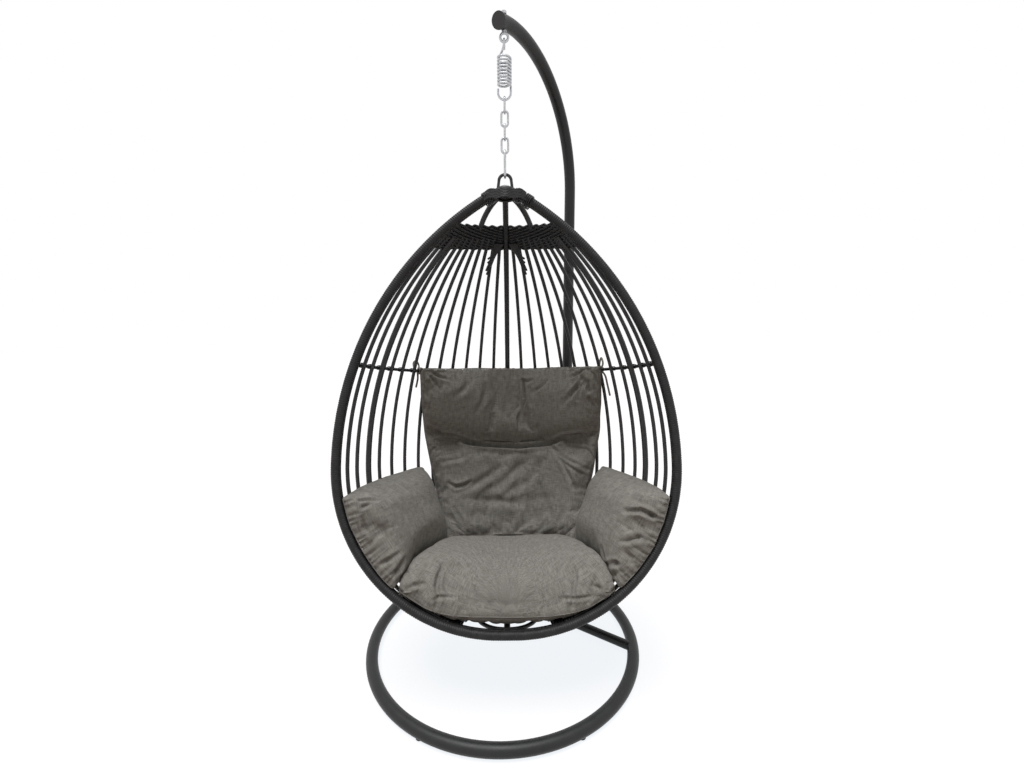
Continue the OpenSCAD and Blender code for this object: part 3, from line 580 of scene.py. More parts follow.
stay_r = 0.006
stay_winding = 0.0025
stay_half = float(rib_half(stay_turn))
stay_plane = float(rib_plane(stay_turn))
stay_bite = 0.012
crown_arch = 0.018
band_r, band_s = arc_point(stay_half, shell_low, crown_angle(stay_turn, crown_edges[0] + stay_bite))
hub_end, band_end = np.array([0.016, 0.010]), np.array([float(band_r), float(band_s)])
chord = band_end - hub_end
rise = np.linspace(0, 1, 60)[:, None]
arch_r = (np.dot(chord, chord) / 4 + crown_arch ** 2) / (2 * crown_arch)
out = np.array([chord[1], -chord[0]]) / np.linalg.norm(chord)
arch_mid = (hub_end + band_end) / 2 - out * (arch_r - crown_arch)
bow = hub_end + chord * rise - arch_mid
bow = arch_mid + bow * arch_r / np.linalg.norm(bow, axis=1, keepdims=True)
crown_paths = [in_basket(np.stack([sign * bow[:, 0] * math.cos(stay_plane), bow[:, 0] * math.sin(stay_plane),
                                   bow[:, 1]], 1)) for sign in (-1, 1)]

foot_start = 0.006
foot_reach_near = foot_edges[0] * stay_half / shell_half + stay_bite
start_d = rear_step + rear_r + stay_r - 0.001
end_x = foot_reach_near * math.cos(stay_plane) - foot_start
end_d = foot_reach_near * math.sin(stay_plane) - start_d
foot_r = (end_x ** 2 + end_d ** 2) / (2 * end_d)
end_rise = shell_low - math.sqrt(shell_low ** 2 - (foot_reach_near - stay_half + shell_low) ** 2)
foot_slope = math.atan2(end_rise, end_d)
a = np.linspace(-math.pi / 2, math.asin((end_d - foot_r) / foot_r), 70)
along_d = foot_r + foot_r * np.sin(a)
foot_x = foot_start + foot_r * np.cos(a)
foot_d = start_d + along_d * math.cos(foot_slope)
foot_s = pod_up + shell_low - along_d * math.sin(foot_slope)
foot_paths = [in_basket(np.stack([sign * foot_x, foot_d, foot_s], 1)) for sign in (-1, 1)]
crown_stays = sweep("stays_crown", crown_paths, Radius=stay_r + stay_winding, Step=0.0019, Sides=14,
                    Strip=0.0055, Relief=0.0012, Material=rib_wicker)
foot_stays = sweep("stays_foot", foot_paths, Radius=stay_r, Step=0.0019, Sides=12, Strip=0.0055,
                   Relief=0.0009, Material=rib_wicker)
on_basket(crown_stays, "crown_stays")
on_basket(foot_stays, "foot_stays")


# ---- Woven bands ----
# Rows of round strip, woven in front of one rib and behind the next, each row the other way
# round from the row above. They grip the rib ends at the crown and at the foot.
strip_r = 0.0027
row_pitch = 0.0041
weave_out = rib_r * 0.62


def band_rows(edges, angle_at):
    first, last = edges
    rows = []
    count = int(round((last - first) / row_pitch))
    place = np.linspace(0.3, 2 * back_rib - 0.3, 420)
    turn = rib_turn(place)
    for row in range(count):
        at = first + (row + 0.5) * (last - first) / count
        out = weave_out * (-1) ** row * np.cos(np.pi * place)
        rows.append(in_basket(shell_point(turn, angle_at(turn, at), out)))
    return rows


def foot_band_angle(turn, r):
    return foot_angle(rib_half(turn), shell_low, foot_reach(turn, r))


crown_band = sweep("band_crown", band_rows(crown_edges, crown_angle), Radius=strip_r, Step=0.0032, Sides=8,
                   Material=rib_wicker)
foot_band = sweep("band_foot", band_rows(foot_edges, foot_band_angle), Radius=strip_r, Step=0.0032, Sides=8,
                  Material=rib_wicker)
on_basket(crown_band, "crown_band")
on_basket(foot_band, "foot_band")


def grid_faces(grid, turned):
    quads = np.stack([grid[:-1, :-1], grid[:-1, 1:], grid[1:, 1:], grid[1:, :-1]], -1).reshape(-1, 4)
    return quads[:, ::-1] if turned else quads


def sheet_solid(name, outer, inner, finish):
    rows, cols = outer.shape[:2]
    number = np.arange(rows * cols).reshape(rows, cols)
    back = number + rows * cols
    faces = [grid_faces(number, False), grid_faces(back, True)]
    for a, b in ((number[0], back[0]), (back[-1], number[-1]), (back[:, 0], number[:, 0]),
                 (number[:, -1], back[:, -1])):
        faces.append(np.stack([a[:-1], b[:-1], b[1:], a[1:]], -1))
    mesh = bpy.data.meshes.new(name)
    points = in_basket(np.concatenate([outer.reshape(-1, 3), inner.reshape(-1, 3)]))
    mesh.from_pydata(points.tolist(), [], np.concatenate(faces).tolist())
    mesh.materials.append(finish)
    return new_piece(name, mesh)


core_inset = 0.003
core_half = 0.0012


def band_core(name, edges, angle_at):
    """The flat inner rows that close the weave: a thin closed sheet along the band's middle."""
    down = np.linspace(edges[0] + core_inset, edges[1] - core_inset, 14)
    turn, at = np.meshgrid(rib_turn(np.linspace(0.3, 2 * back_rib - 0.3, 200)), down)
    v = angle_at(turn, at)
    return sheet_solid(name, shell_point(turn, v, core_half), shell_point(turn, v, -core_half), rib_wicker)


on_basket(band_core("band_crown_core", crown_edges, crown_angle))
on_basket(band_core("band_foot_core", foot_edges, foot_band_angle))


# ---- Loose ends of the weave ----
# Where the weaving of the crown band was begun and ended, two pointed bundles of strip hang
# down inside the basket on either side of the rib at the back.
tail_strips = 7
tail_r = 0.0032
tail_roots = (0.010, 0.036)
tail_tips = (0.061, 0.069)
tail_top = 0.090
tail_depths = (0.128, 0.172)
tail_in = rib_r + 0.0055


def back_wall_point(x, s, off):
    w = float(rib_half(math.pi / 2))
    r, depth = arc_point(w, shell_low, angle_at_depth(w, shell_low, s), off)
    return np.array([x, math.sqrt(max(float(r) ** 2 - x * x, 0)), float(depth)])


tail_paths = []
for sign in (-1, 1):
    for share in np.linspace(0, 1, tail_strips):
        start_x = sign * mix(*tail_roots, share)
        tip_x = sign * mix(*tail_tips, share)
        tip_s = mix(*tail_depths, 1 - abs(2 * share - 1.5) / 1.5)
        tail_paths.append(in_basket([back_wall_point(mix(start_x, tip_x, k ** 1.3), mix(tail_top, tip_s, k),
                                                     -tail_in) for k in np.linspace(0, 1, 14)]))
on_basket(sweep("weave_tails", tail_paths, Radius=tail_r, Step=0.004, Sides=8, Material=rib_wicker))

# ---- Crown hub ----
# The rods meet under the cap in one knot: their welded ends, wound round and round with the
# wicker strip like a bobbin.
hub_outline = np.array([[0.025, 0.002], [0.035, 0.0055], [0.040, 0.012], [0.036, 0.019], [0.027, 0.022]])
hub_strip_r = 0.0027
hub_lengths = np.r_[0, np.cumsum(np.linalg.norm(np.diff(hub_outline, axis=0), axis=1))]
hub_run = np.linspace(0, hub_lengths[-1], 900)
hub_angle = 2 * np.pi * hub_run / (2 * hub_strip_r * 0.98)
hub_reach = np.interp(hub_run, hub_lengths, hub_outline[:, 0]) - hub_strip_r
hub_down = np.interp(hub_run, hub_lengths, hub_outline[:, 1]) + hub_strip_r * 0.6
hub_path = np.stack([hub_reach * np.cos(hub_angle), hub_reach * np.sin(hub_angle), hub_down], 1)
hub = sweep("hub_winding", [in_basket(hub_path)], Radius=hub_strip_r, Step=0.0035, Sides=8,
            Material=rib_wicker)
on_basket(hub, "crown_hub")


def lathe(name, outline, finish, count=40):
    """A closed turned solid in the basket's frame, from points of radius and distance down."""
    angle = np.linspace(0, 2 * np.pi, count, endpoint=False)
    rings = [[(r * math.cos(a), r * math.sin(a), s) for a in angle] for r, s in outline[1:-1]]
    points = [(0, 0, outline[0][1])] + [p for ring in rings for p in ring] + [(0, 0, outline[-1][1])]
    last = len(points) - 1
    faces = [(0, 1 + j, 1 + (j + 1) % count) for j in range(count)]
    for i in range(len(rings) - 1):
        a, b = 1 + i * count, 1 + (i + 1) * count
        faces += [(a + j, b + j, b + (j + 1) % count, a + (j + 1) % count) for j in range(count)]
    faces += [(last, 1 + (len(rings) - 1) * count + (j + 1) % count, 1 + (len(rings) - 1) * count + j)
              for j in range(count)]
    mesh = bpy.data.meshes.new(name)
    mesh.from_pydata([tuple(p) for p in in_basket(points)], [], faces)
    mesh.materials.append(finish)
    mesh.shade_smooth()
    return new_piece(name, mesh)


core_in = 0.004
core_shifts = (0.003, 0.003, 0, -0.002, -0.002)
core_side = [(r - core_in, s + shift) for (r, s), shift in zip(hub_outline, core_shifts)]
on_basket(lathe("hub_core", [(0, 0.004), *core_side, (0, 0.020)], rib_wicker))

# ---- Crown cap ----
# A light grey moulded dome that sits on the knot and hides the welds. The legs of the
# basket's eye pass through it and hold it in place.
cap_outline = [(0, -0.0095), (0.008, -0.009), (0.015, -0.0072), (0.020, -0.0035), (0.0235, 0.001),
               (0.0235, 0.003), (0, 0.003)]
cap = lathe("crown_dome", cap_outline,
            moulded_plastic("grey_plastic", (0.5, 0.53, 0.52), (0.6, 0.63, 0.62), 0.5))
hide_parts("crown_cap")
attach(cap, "basket")

# ---- Belts ----
# Two rods run round the outside of the ribs, wound like them, and are lashed to each rib by
# a crossed turn of thin strip.
belt_r = 0.0055
belt_gap = 0.0006
belt_depths = {"upper_belt": (0.510, 0.022), "lower_belt": (0.904, 0.010)}


def belt_centre(turn, depth):
    w = rib_half(turn)
    v = angle_at_depth(w, shell_low, depth[0] - depth[1] * np.sin(turn))
    out = np.stack([shell_k * np.cos(turn), np.sin(turn), 0 * turn], -1)
    out /= np.linalg.norm(out, axis=-1, keepdims=True)
    return shell_point(turn, v) + out * (rib_r / np.cos(v) + belt_r + belt_gap)[..., None], out


lash_r = 0.0013
lash_lean = 0.8
loop = np.linspace(0, 2 * np.pi, 22, endpoint=False)
for name, depth in belt_depths.items():
    turn = np.radians(np.linspace(1.5, 178.5, 300))
    belt = sweep(name + "_rod", [in_basket(belt_centre(turn, depth)[0])], Radius=belt_r, Step=0.0019,
                 Sides=12, Strip=0.0054, Relief=0.0009, Material=rib_wicker)
    on_basket(belt, name)
    lashings = []
    for place in range(1, 2 * back_rib):
        at = np.array([float(rib_turn(np.array(float(place))))])
        centre, out = belt_centre(at, depth)
        centre, out = centre[0] - out[0] * (belt_r + belt_gap / 2), out[0]
        side = np.array([-out[1], out[0], 0])
        down = np.array([0, 0, 1.0])
        for lean in (-lash_lean, lash_lean):
            across = side * math.cos(lean) + down * math.sin(lean)
            half_deep = rib_r + belt_r + lash_r
            half_wide = (rib_r + lash_r) * 1.25
            lashings.append(in_basket(centre + out * half_deep * np.cos(loop)[:, None]
                                      + across * half_wide * np.sin(loop)[:, None]))
    on_basket(sweep(name + "_lashings", lashings, closed=True, Radius=lash_r, Step=0.004, Sides=6,
                    Material=rib_wicker))

# ---- Wraps beside the hub ----
# A few close turns of wicker strip bind the two hoops together at each side of the hub, and
# hold down the ends of the strips that run over the front of it.
wrap_r = 0.0023
wrap_pitch = 2 * wrap_r * 0.96
wrap_places = {-1: [(0.034, 6)], 1: [(0.032, 3), (0.057, 4)]}
wrap_paths = []
for sign, places in wrap_places.items():
    for start, turns in places:
        a = np.linspace(0, 2 * np.pi * turns, 24 * turns)
        reach = start + wrap_pitch * a / (2 * np.pi)
        v = top_angle(rim_half, reach)
        r, s = arc_point(rim_half, rim_low, v)
        up = (rim_r + wrap_r + 0.001) * np.cos(a)
        mid_d = rear_step / 2 - 0.001
        d = mid_d + (mid_d + rim_r + wrap_r + 0.005) * np.sin(a)
        wrap_paths.append(in_basket(np.stack([sign * (r + up * np.cos(v)), d, s + up * np.sin(v)], 1)))
on_basket(sweep("crown_wraps", wrap_paths, Radius=wrap_r, Step=0.003, Sides=8, Material=rib_wicker))


def smooth_path(points, each=8):
    """A smooth line through a few points."""
    p = np.array(points, float)
    p = np.concatenate([[2 * p[0] - p[1]], p, [2 * p[-1] - p[-2]]])
    u = (np.arange(each) / each)[:, None]
    parts = []
    for a, b, c, d in zip(p[:-3], p[1:-2], p[2:-1], p[3:]):
        parts.append(0.5 * (2 * b + (c - a) * u + (2 * a - 5 * b + 4 * c - d) * u * u
                            + (3 * b - a - 3 * c + d) * u ** 3))
    return np.concatenate(parts + [p[-2:-1]])


def hoop_depth(x):
    return float(arc_point(rim_half, rim_low, top_angle(rim_half, x))[1])


over_rows = 6
over_pitch = 0.0046
over_paths = []
for row in range(over_rows):
    lift_s = (row - (over_rows - 1) / 2) * over_pitch
    half = [(0.061, -0.0150, hoop_depth(0.061) + lift_s * 0.9),
            (0.044, -0.0225, hoop_depth(0.044) + 0.004 + lift_s), (0.022, -0.0375, 0.0300 + lift_s)]
    over_paths.append(in_basket(smooth_path([(-x, d, s) for x, d, s in half] + [(0, -0.0435, 0.0275 + lift_s)]
                                            + half[::-1])))
on_basket(sweep("crown_over_strips", over_paths, Radius=hub_strip_r, Step=0.003, Sides=8,
                Material=rib_wicker))


# ---- Cushion cloth ----
# A coarse linen-look weave of grey-brown yarn, warp and weft a little apart in tone, with
# thicker slubs here and there.
def linen():
    made, tree, shader = new_finish("linen_grey_brown")
    at = add_node(tree, "ShaderNodeUVMap", uv_map="weave").outputs[0]
    yarn = 0.0017
    split = add_node(tree, "ShaderNodeSeparateXYZ", {0: at}).outputs
    u = figure(tree, "DIVIDE", split["X"], yarn / math.pi)
    v = figure(tree, "DIVIDE", split["Y"], yarn / math.pi)
    cell = figure(tree, "MULTIPLY", figure(tree, "SINE", u), figure(tree, "SINE", v))

    def yarn_noise(x, y, detail):
        place = add_node(tree, "ShaderNodeMapping", {"Vector": at, "Scale": (x, y, 1)}).outputs[0]
        return noise_at(tree, place, 1.0, detail, 0.6)

    warp = yarn_noise(620.0, 26.0, 2.0)
    weft = yarn_noise(26.0, 620.0, 2.0)
    over = range_of(tree, cell, 0.0, 1.0, -0.25, 0.25)
    tone = add_node(tree, "ShaderNodeMix", {0: over, 2: warp, 3: weft}).outputs[0]
    patch = yarn_noise(60.0, 60.0, 3.0)
    share = figure(tree, "ADD", figure(tree, "MULTIPLY", tone, 0.75), figure(tree, "MULTIPLY", patch, 0.25))
    high = figure(tree, "ADD", figure(tree, "MULTIPLY", figure(tree, "ABSOLUTE", cell), 0.6), share)
    join(tree, shader,
         Base_Color=ramp_between(tree, share, (0.135, 0.125, 0.113), (0.43, 0.408, 0.375), 0.34, 0.66),
         Roughness=range_of(tree, share, 0.82, 0.96, 0.3, 0.7), Normal=bump_of(tree, high, 0.0005))
    shader.inputs["Sheen Weight"].default_value = 0.12
    shader.inputs["Sheen Roughness"].default_value = 0.5
    shader.inputs["Specular IOR Level"].default_value = 0.2
    return made


cloth = linen()


# ---- Cushion shapes ----
# Each cushion is a closed cover, full in its middle and drawn in to its sewn edge. The back
# and the bolsters follow the ribs, and the seat fills the bowl.
def full(u, edge):
    return np.sqrt(np.clip(1 - np.abs(u) ** edge, 0, 1))


def eased(count):
    return 0.5 - 0.494 * np.cos(np.pi * np.arange(count + 1) / count)


cushion_out = 0.010


def pad_grid(place, thick, sewn, rounds, across, down, clear=cushion_out):
    """Points of a pad that follows the ribs, its outer face and its inner face. Its edge is
    sewn at this share of its thickness, and rounds says how square its ends are."""
    a, k = np.meshgrid(eased(across), eased(down))
    turn, s = place(a, k)
    v = angle_at_depth(rib_half(turn), shell_low, s)
    fullness = full(2 * a - 1, rounds[0]) * full(2 * k - 1, rounds[1])
    depth = thick(a, k)
    outer = shell_point(turn, v, -clear - depth * sewn * (1 - fullness))
    inner = shell_point(turn, v, -clear - depth * (sewn + (1 - sewn) * fullness))
    return outer, inner


def closed_mesh(name, outer, inner, flip):
    rows, cols = outer.shape[:2]
    number = np.arange(rows * cols).reshape(rows, cols)
    back = number + rows * cols
    back[0], back[-1], back[:, 0], back[:, -1] = number[0], number[-1], number[:, 0], number[:, -1]
    faces = np.concatenate([grid_faces(number, flip), grid_faces(back, not flip)])
    mesh = bpy.data.meshes.new(name)
    points = np.concatenate([outer.reshape(-1, 3), inner.reshape(-1, 3)])
    mesh.from_pydata(in_basket(points).tolist(), [], faces.tolist())
    return new_piece(name, mesh)


def applied(piece, modifier):
    graph = bpy.context.evaluated_depsgraph_get()
    made = bpy.data.meshes.new_from_object(piece.evaluated_get(graph))
    piece.modifiers.remove(modifier)
    old = piece.data
    piece.data = made
    bpy.data.meshes.remove(old)


def points_of(piece):
    co = np.empty(len(piece.data.vertices) * 3)
    piece.data.vertices.foreach_get("co", co)
    return co.reshape(-1, 3)


def put_points(piece, co):
    piece.data.vertices.foreach_set("co", np.asarray(co, float).ravel())
    piece.data.update()


def along_line(co, line):
    """For each point its distance to a line of points and its way along the line."""
    best, way, walked = np.full(len(co), 9.0), np.zeros(len(co)), 0.0
    for a, b in zip(line[:-1], line[1:]):
        length = np.linalg.norm(b - a)
        share = np.clip((co - a) @ (b - a) / length ** 2, 0, 1)
        gap = np.linalg.norm(co - a - share[:, None] * (b - a), axis=1)
        nearer = gap < best
        best[nearer], way[nearer] = gap[nearer], walked + share[nearer] * length
        walked += length
    return best, way, walked


cover_voxel = 0.006
held_reach = 0.018
held_blend = 0.012
settle_frames = 20


def stuffed(piece, edge, cap, growth):
    """Fills the cover: even faces, then cloth under pressure, larger than its place by the
    share growth, held at its sewn edge and moved by no more than cap."""
    remesh = piece.modifiers.new("even", "REMESH")
    remesh.mode = "VOXEL"
    remesh.voxel_size = cover_voxel
    applied(piece, remesh)
    before = points_of(piece)
    group = piece.vertex_groups.new(name="seam")
    far = along_line(before, in_basket(np.concatenate([edge, edge[:1]])))[0]
    held = np.clip((held_reach - far) / held_blend, 0, 1)
    for index in np.nonzero(held > 0.02)[0]:
        group.add([int(index)], float(held[index]), "REPLACE")
    cloth_sim = piece.modifiers.new("cloth", "CLOTH")
    settings = cloth_sim.settings
    settings.quality = 6
    settings.mass = 0.3
    settings.tension_stiffness = 12
    settings.compression_stiffness = 12
    settings.shear_stiffness = 4
    settings.bending_stiffness = 0.3
    settings.use_pressure = True
    settings.uniform_pressure_force = 4.0
    settings.effector_weights.gravity = 0
    settings.shrink_min = -growth
    settings.vertex_group_mass = "seam"
    cloth_sim.point_cache.frame_start = 1
    cloth_sim.point_cache.frame_end = settle_frames
    for step in range(1, settle_frames + 1):
        scene.frame_set(step)
    applied(piece, cloth_sim)
    scene.frame_set(1)
    moved = points_of(piece) - before
    length = np.linalg.norm(moved, axis=1, keepdims=True)
    put_points(piece, before + moved * np.minimum(1, cap / np.maximum(length, 1e-9)))
    piece.vertex_groups.clear()


def shell_place(points):
    """Ellipse angle, distance down and depth inside the ribs of points in the model's frame."""
    x, d, s = np.moveaxis(from_basket(points), -1, 0)
    turn = np.arctan2(d / shell_k, x)
    w = rib_half(turn)
    r = np.hypot(x, d)
    radius = np.where(s < pod_up, upper_r(w), shell_low)
    v = np.arctan2(s - pod_up, r - (w - radius))
    return turn, pod_up + radius * np.sin(v), radius - np.hypot(r - (w - radius), s - pod_up)


rib_gap = 0.002
thick_rib_gap = 0.0045
thick_rib_turn = 0.04
rim_reach = 0.034
rim_blend = 0.012


def kept_in_basket(piece):
    """Presses the cover back to the inner side of the ribs and the rim where it swells past."""
    co = points_of(piece)
    turn, s, depth = shell_place(co)
    v = angle_at_depth(rib_half(turn), shell_low, s)
    gap = np.full(len(co), rib_r + rib_gap)
    for thick in (side_turn, math.pi / 2, math.pi - side_turn):
        gap += thick_rib_gap * np.exp(-((turn - thick) / thick_rib_turn) ** 2)
    at_rim = np.clip((rim_reach - shell_point(turn, v)[:, 1]) / rim_blend, 0, 1)
    gap = mix(gap, 0.0125 - 0.007 * np.cos(v), at_rim)
    pressed = in_basket(shell_point(turn, v, -gap))
    co = np.where((depth < gap)[:, None], pressed, co)
    put_points(piece, co)


def kept_clear(piece, others, gap=0.0025):
    """Presses the cover back where it swells into another cushion."""
    co = points_of(piece)
    for other in others:
        tree = BVHTree.FromObject(other, bpy.context.evaluated_depsgraph_get())
        held = points_of(other)
        near = np.nonzero(np.all((co > held.min(0) - gap) & (co < held.max(0) + gap), axis=1))[0]
        for index in near:
            place, facing, _, _ = tree.find_nearest(Vector(co[index]))
            if (Vector(co[index]) - place).dot(facing) < gap:
                co[index] = place + facing * gap
    put_points(piece, co)


def smoothed(piece):
    finer = piece.modifiers.new("finer", "SUBSURF")
    finer.levels = finer.render_levels = 1
    applied(piece, finer)


def weave_map(piece, middle=0.42):
    """Lays the cloth's warp and weft on the cover, face by face, from the nearest flat side."""
    mesh = piece.data
    turn, s, depth = shell_place(points_of(piece))
    flat = np.stack([turn * middle, s, depth], 1)
    corners = np.empty(len(mesh.loops), int)
    mesh.loops.foreach_get("vertex_index", corners)
    starts = np.empty(len(mesh.polygons), int)
    counts = np.empty(len(mesh.polygons), int)
    mesh.polygons.foreach_get("loop_start", starts)
    mesh.polygons.foreach_get("loop_total", counts)
    at = flat[corners]
    first, second, third = at[starts], at[starts + 1], at[starts + 2]
    facing = np.repeat(np.abs(np.cross(second - first, third - first)).argmax(1), counts)
    pairs = np.array([[1, 2], [0, 2], [0, 1]])[facing]
    uv = np.take_along_axis(at, pairs, 1)
    layer = mesh.uv_layers.new(name="weave")
    layer.data.foreach_set("uv", uv.astype(np.float32).ravel())


def normals_of(piece):
    normals = np.empty(len(piece.data.vertices) * 3)
    piece.data.vertex_normals.foreach_get("vector", normals)
    return normals.reshape(-1, 3)


def on_surface(piece, points):
    """The nearest points of the cover to points of the basket's frame."""
    tree = BVHTree.FromObject(piece, bpy.context.evaluated_depsgraph_get())
    return np.array([tree.find_nearest(Vector(p))[0] for p in in_basket(points)])


fold_wide = 1.3
fold_deep = 1.5


def folded(piece, folds, gathers):
    """Sews in creases (half width, depth, points, all in mm) and gathers the cover at its edges."""
    co = points_of(piece)
    push = np.zeros(len(co))
    for wide, deep, points in folds:
        line = on_surface(piece, np.array(points) / 1000)
        wide, deep = fold_wide * wide / 1000, fold_deep * deep / 1000
        near = np.nonzero(np.all((co > line.min(0) - 5 * wide) & (co < line.max(0) + 5 * wide), axis=1))[0]
        gap, way, length = along_line(co[near], line)
        fade = np.sqrt(np.sin(np.pi * np.clip(way / length, 0.03, 0.97)))
        groove = -np.exp(-(gap / wide) ** 2) + 0.4 * np.exp(-((gap - 2.3 * wide) / (1.2 * wide)) ** 2)
        push[near] += deep * fade * groove
    for wave, deep, reach, points in gathers:
        line = on_surface(piece, np.array(points) / 1000)
        wave, deep, reach = wave / 1000, deep / 1000, reach / 1000
        near = np.nonzero(np.all((co > line.min(0) - 4 * reach) & (co < line.max(0) + 4 * reach), axis=1))[0]
        gap, way, length = along_line(co[near], line)
        phase = 2 * np.pi * way / wave + 1.6 * np.sin(way / wave * 1.7) + 0.9 * np.sin(way / wave * 0.61)
        push[near] += deep * np.exp(-(gap / reach) ** 1.5) * np.sin(phase)
    put_points(piece, co + normals_of(piece) * push[:, None])


rumple = 0.0009


def rumpled(piece, seed):
    """Soft unevenness of a hand-filled cover."""
    co = points_of(piece)
    chance = np.random.default_rng(seed)
    push = np.zeros(len(co))
    for _ in range(14):
        heading = chance.normal(size=3)
        heading /= np.linalg.norm(heading)
        wave = chance.uniform(0.05, 0.17)
        push += np.sin(co @ heading * 2 * np.pi / wave + chance.uniform(0, 6.28)) * wave
    put_points(piece, co + normals_of(piece) * (push * rumple / push.std())[:, None])


def seam(name, piece, points, thick=0.0016):
    """The sewn edge of a cover: a thin welt along a closed line of points."""
    line = on_surface(piece, points)
    for _ in range(3):
        line = (np.roll(line, 1, 0) + 2 * line + np.roll(line, -1, 0)) / 4
    welt = sweep(name, [line], closed=True, Radius=thick, Step=0.005, Sides=8, Material=cloth)
    cloth_part(welt)


def cloth_part(piece):
    weave_map(piece)
    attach(piece, "basket")


def edge_points(outer):
    """The outline of a pad grid as one closed line."""
    return np.concatenate([outer[0, :-1], outer[:-1, -1], outer[-1, :0:-1], outer[:0:-1, 0]])


def made_up(piece, node, edge, folds, gathers, seed):
    """Gives a stuffed cover its folds, its welt and its cloth, as the cushion of this node."""
    smoothed(piece)
    folded(piece, folds, gathers)
    rumpled(piece, seed)
    seam("seam_" + node.replace("_cushion", ""), piece, edge)
    piece.data.materials.clear()
    piece.data.materials.append(cloth)
    piece.data.shade_smooth()
    cloth_part(piece)
    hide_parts(node)


# ---- Back cushion ----
# Two stuffed parts in one cover with a sewn crease between them. It leans on the ribs and is
# tied to the upper belt by its top corners.
back_half_turn = 40.5
cushion_turn = 2.5
back_flare = 13.0
back_top = 0.458
back_length = 0.651
back_thick = 0.108
foot_thinning = 0.3
back_sewn = 0.28
back_rounds = (4.5, 3.2)
crease_at = 0.294 / back_length
crease_deep = 0.46
crease_wide = 0.07
crease_rise = 0.057
corner_drop = 0.018


def back_place(a, k):
    q = 2 * a - 1
    half = back_half_turn + back_flare * np.clip(1 - k / 0.75, 0, None)
    drop = corner_drop * (1 - k) - crease_rise * np.sin(np.pi * k) ** 2
    return np.radians(90 - cushion_turn + half * q), back_top + back_length * k + q * q * drop


def back_depth(a, k):
    crease = 1 - crease_deep * np.exp(-(np.abs(k - crease_at) / crease_wide) ** 1.4)
    return back_thick * crease * (1 - foot_thinning * k ** 4)


back_folds = [
    (5, 13, [(-276, 336, 705), (-249, 344, 718), (-197, 372, 731), (-135, 402, 747), (-63, 424, 757),
             (10, 429, 760), (84, 417, 758), (155, 390, 748), (206, 364, 733), (257, 340, 718),
             (293, 345, 701)]),
    (4, 9, [(46, 276, 490), (45, 290, 502), (44, 383, 527), (47, 379, 600), (47, 390, 665), (44, 396, 701)]),
    (4, 6, [(151, 387, 759), (187, 357, 785), (227, 340, 819), (268, 359, 845)]),
    (4, 5, [(209, 355, 754), (249, 338, 764), (287, 360, 779)]),
    (4, 4, [(187, 352, 809), (220, 342, 833), (252, 347, 858)]),
    (4, 4, [(161, 377, 772), (193, 349, 820), (219, 340, 874), (236, 338, 915)]),
    (4, 5, [(-266, 339, 723), (-242, 341, 744), (-211, 351, 765)]),
    (5, 4, [(-234, 340, 817), (-200, 347, 804), (-160, 369, 795)]),
    (4, 7, [(-209, 338, 893), (-178, 342, 902), (-151, 354, 897), (-128, 366, 886)]),
    (8, 5, [(-171, 341, 914), (-117, 367, 897), (-62, 392, 868), (-15, 404, 830)]),
    (9, 5, [(-89, 366, 932), (-40, 386, 903), (6, 399, 866), (46, 400, 834), (86, 398, 802)]),
    (9, 5, [(-40, 371, 950), (10, 384, 921), (60, 387, 890), (100, 385, 851), (121, 382, 812)]),
    (10, 5, [(-143, 342, 941), (-61, 365, 956), (27, 370, 957), (142, 343, 940)]),
    (4, 5, [(-179, 320, 968), (-158, 317, 1001), (-148, 320, 1039)]),
    (5, 4, [(188, 317, 973), (170, 310, 1012), (166, 311, 1045)]),
    (9, 5, [(-133, 385, 789), (-77, 410, 780), (-19, 413, 799), (32, 418, 781), (90, 401, 791)]),
    (4, 6, [(-278, 269, 500), (-270, 271, 531), (-261, 279, 565)]),
    (4, 6, [(-272, 269, 498), (-251, 280, 531), (-229, 292, 561)]),
    (4, 5, [(-264, 275, 496), (-234, 302, 512), (-198, 319, 524)]),
    (4, 5, [(-280, 269, 515), (-279, 276, 548), (-276, 289, 595)]),
    (4, 6, [(276, 269, 498), (262, 279, 545), (246, 294, 600)]),
    (4, 6, [(270, 272, 498), (241, 285, 555), (214, 300, 590)]),
    (4, 5, [(264, 276, 496), (240, 290, 505), (212, 310, 517)]),
    (4, 5, [(280, 269, 510), (278, 276, 560), (277, 290, 620)]),
    (6, 4, [(-111, 368, 642), (-85, 369, 596), (-71, 373, 556)]),
    (6, 4, [(193, 321, 617), (228, 293, 577), (267, 273, 544)]),
    (7, 4, [(-181, 323, 584), (-151, 339, 562), (-131, 357, 528)]),
    (5, 3, [(83, 368, 572), (122, 356, 548), (148, 355, 516)])]

back_outer, back_inner = pad_grid(back_place, back_depth, back_sewn, back_rounds, 60, 80)
back = closed_mesh("cushion_back", back_outer, back_inner, flip=False)
stuffed(back, edge_points(back_outer), cap=0.016, growth=0.06)
kept_in_basket(back)
made_up(back, "back_cushion", edge_points(back_outer), back_folds,
        [(22, 2.2, 26, back_outer[0, ::6] * 1000)], seed=11)

# ---- Arm bolsters ----
# A thick stuffed pad at each side, in the same cloth, fullest at its inner end. It lies
# loose in the bowl between the rim and the back cushion.
bolster_corners = np.array([[[-1.5, 0.884], [-1.5, 1.140]], [[45.5, 0.832], [51.5, 1.118]]])
bolster_thick = 0.150
bolster_sewn = 0.01
bolster_across = 44
bolster_rounds = (mix(5, 2.6, eased(bolster_across)), 3.4)
bolster_clear = 0.0055


def bolster_place(side):
    """The place of a bolster's points, whose inner end follows the turn of the back cushion."""
    def place(a, k):
        turn, s = [mix(mix(bolster_corners[0, 0, c], bolster_corners[0, 1, c], k),
                       mix(bolster_corners[1, 0, c], bolster_corners[1, 1, c], k), a) for c in (0, 1)]
        return np.radians(turn - side * cushion_turn * a), s
    return place


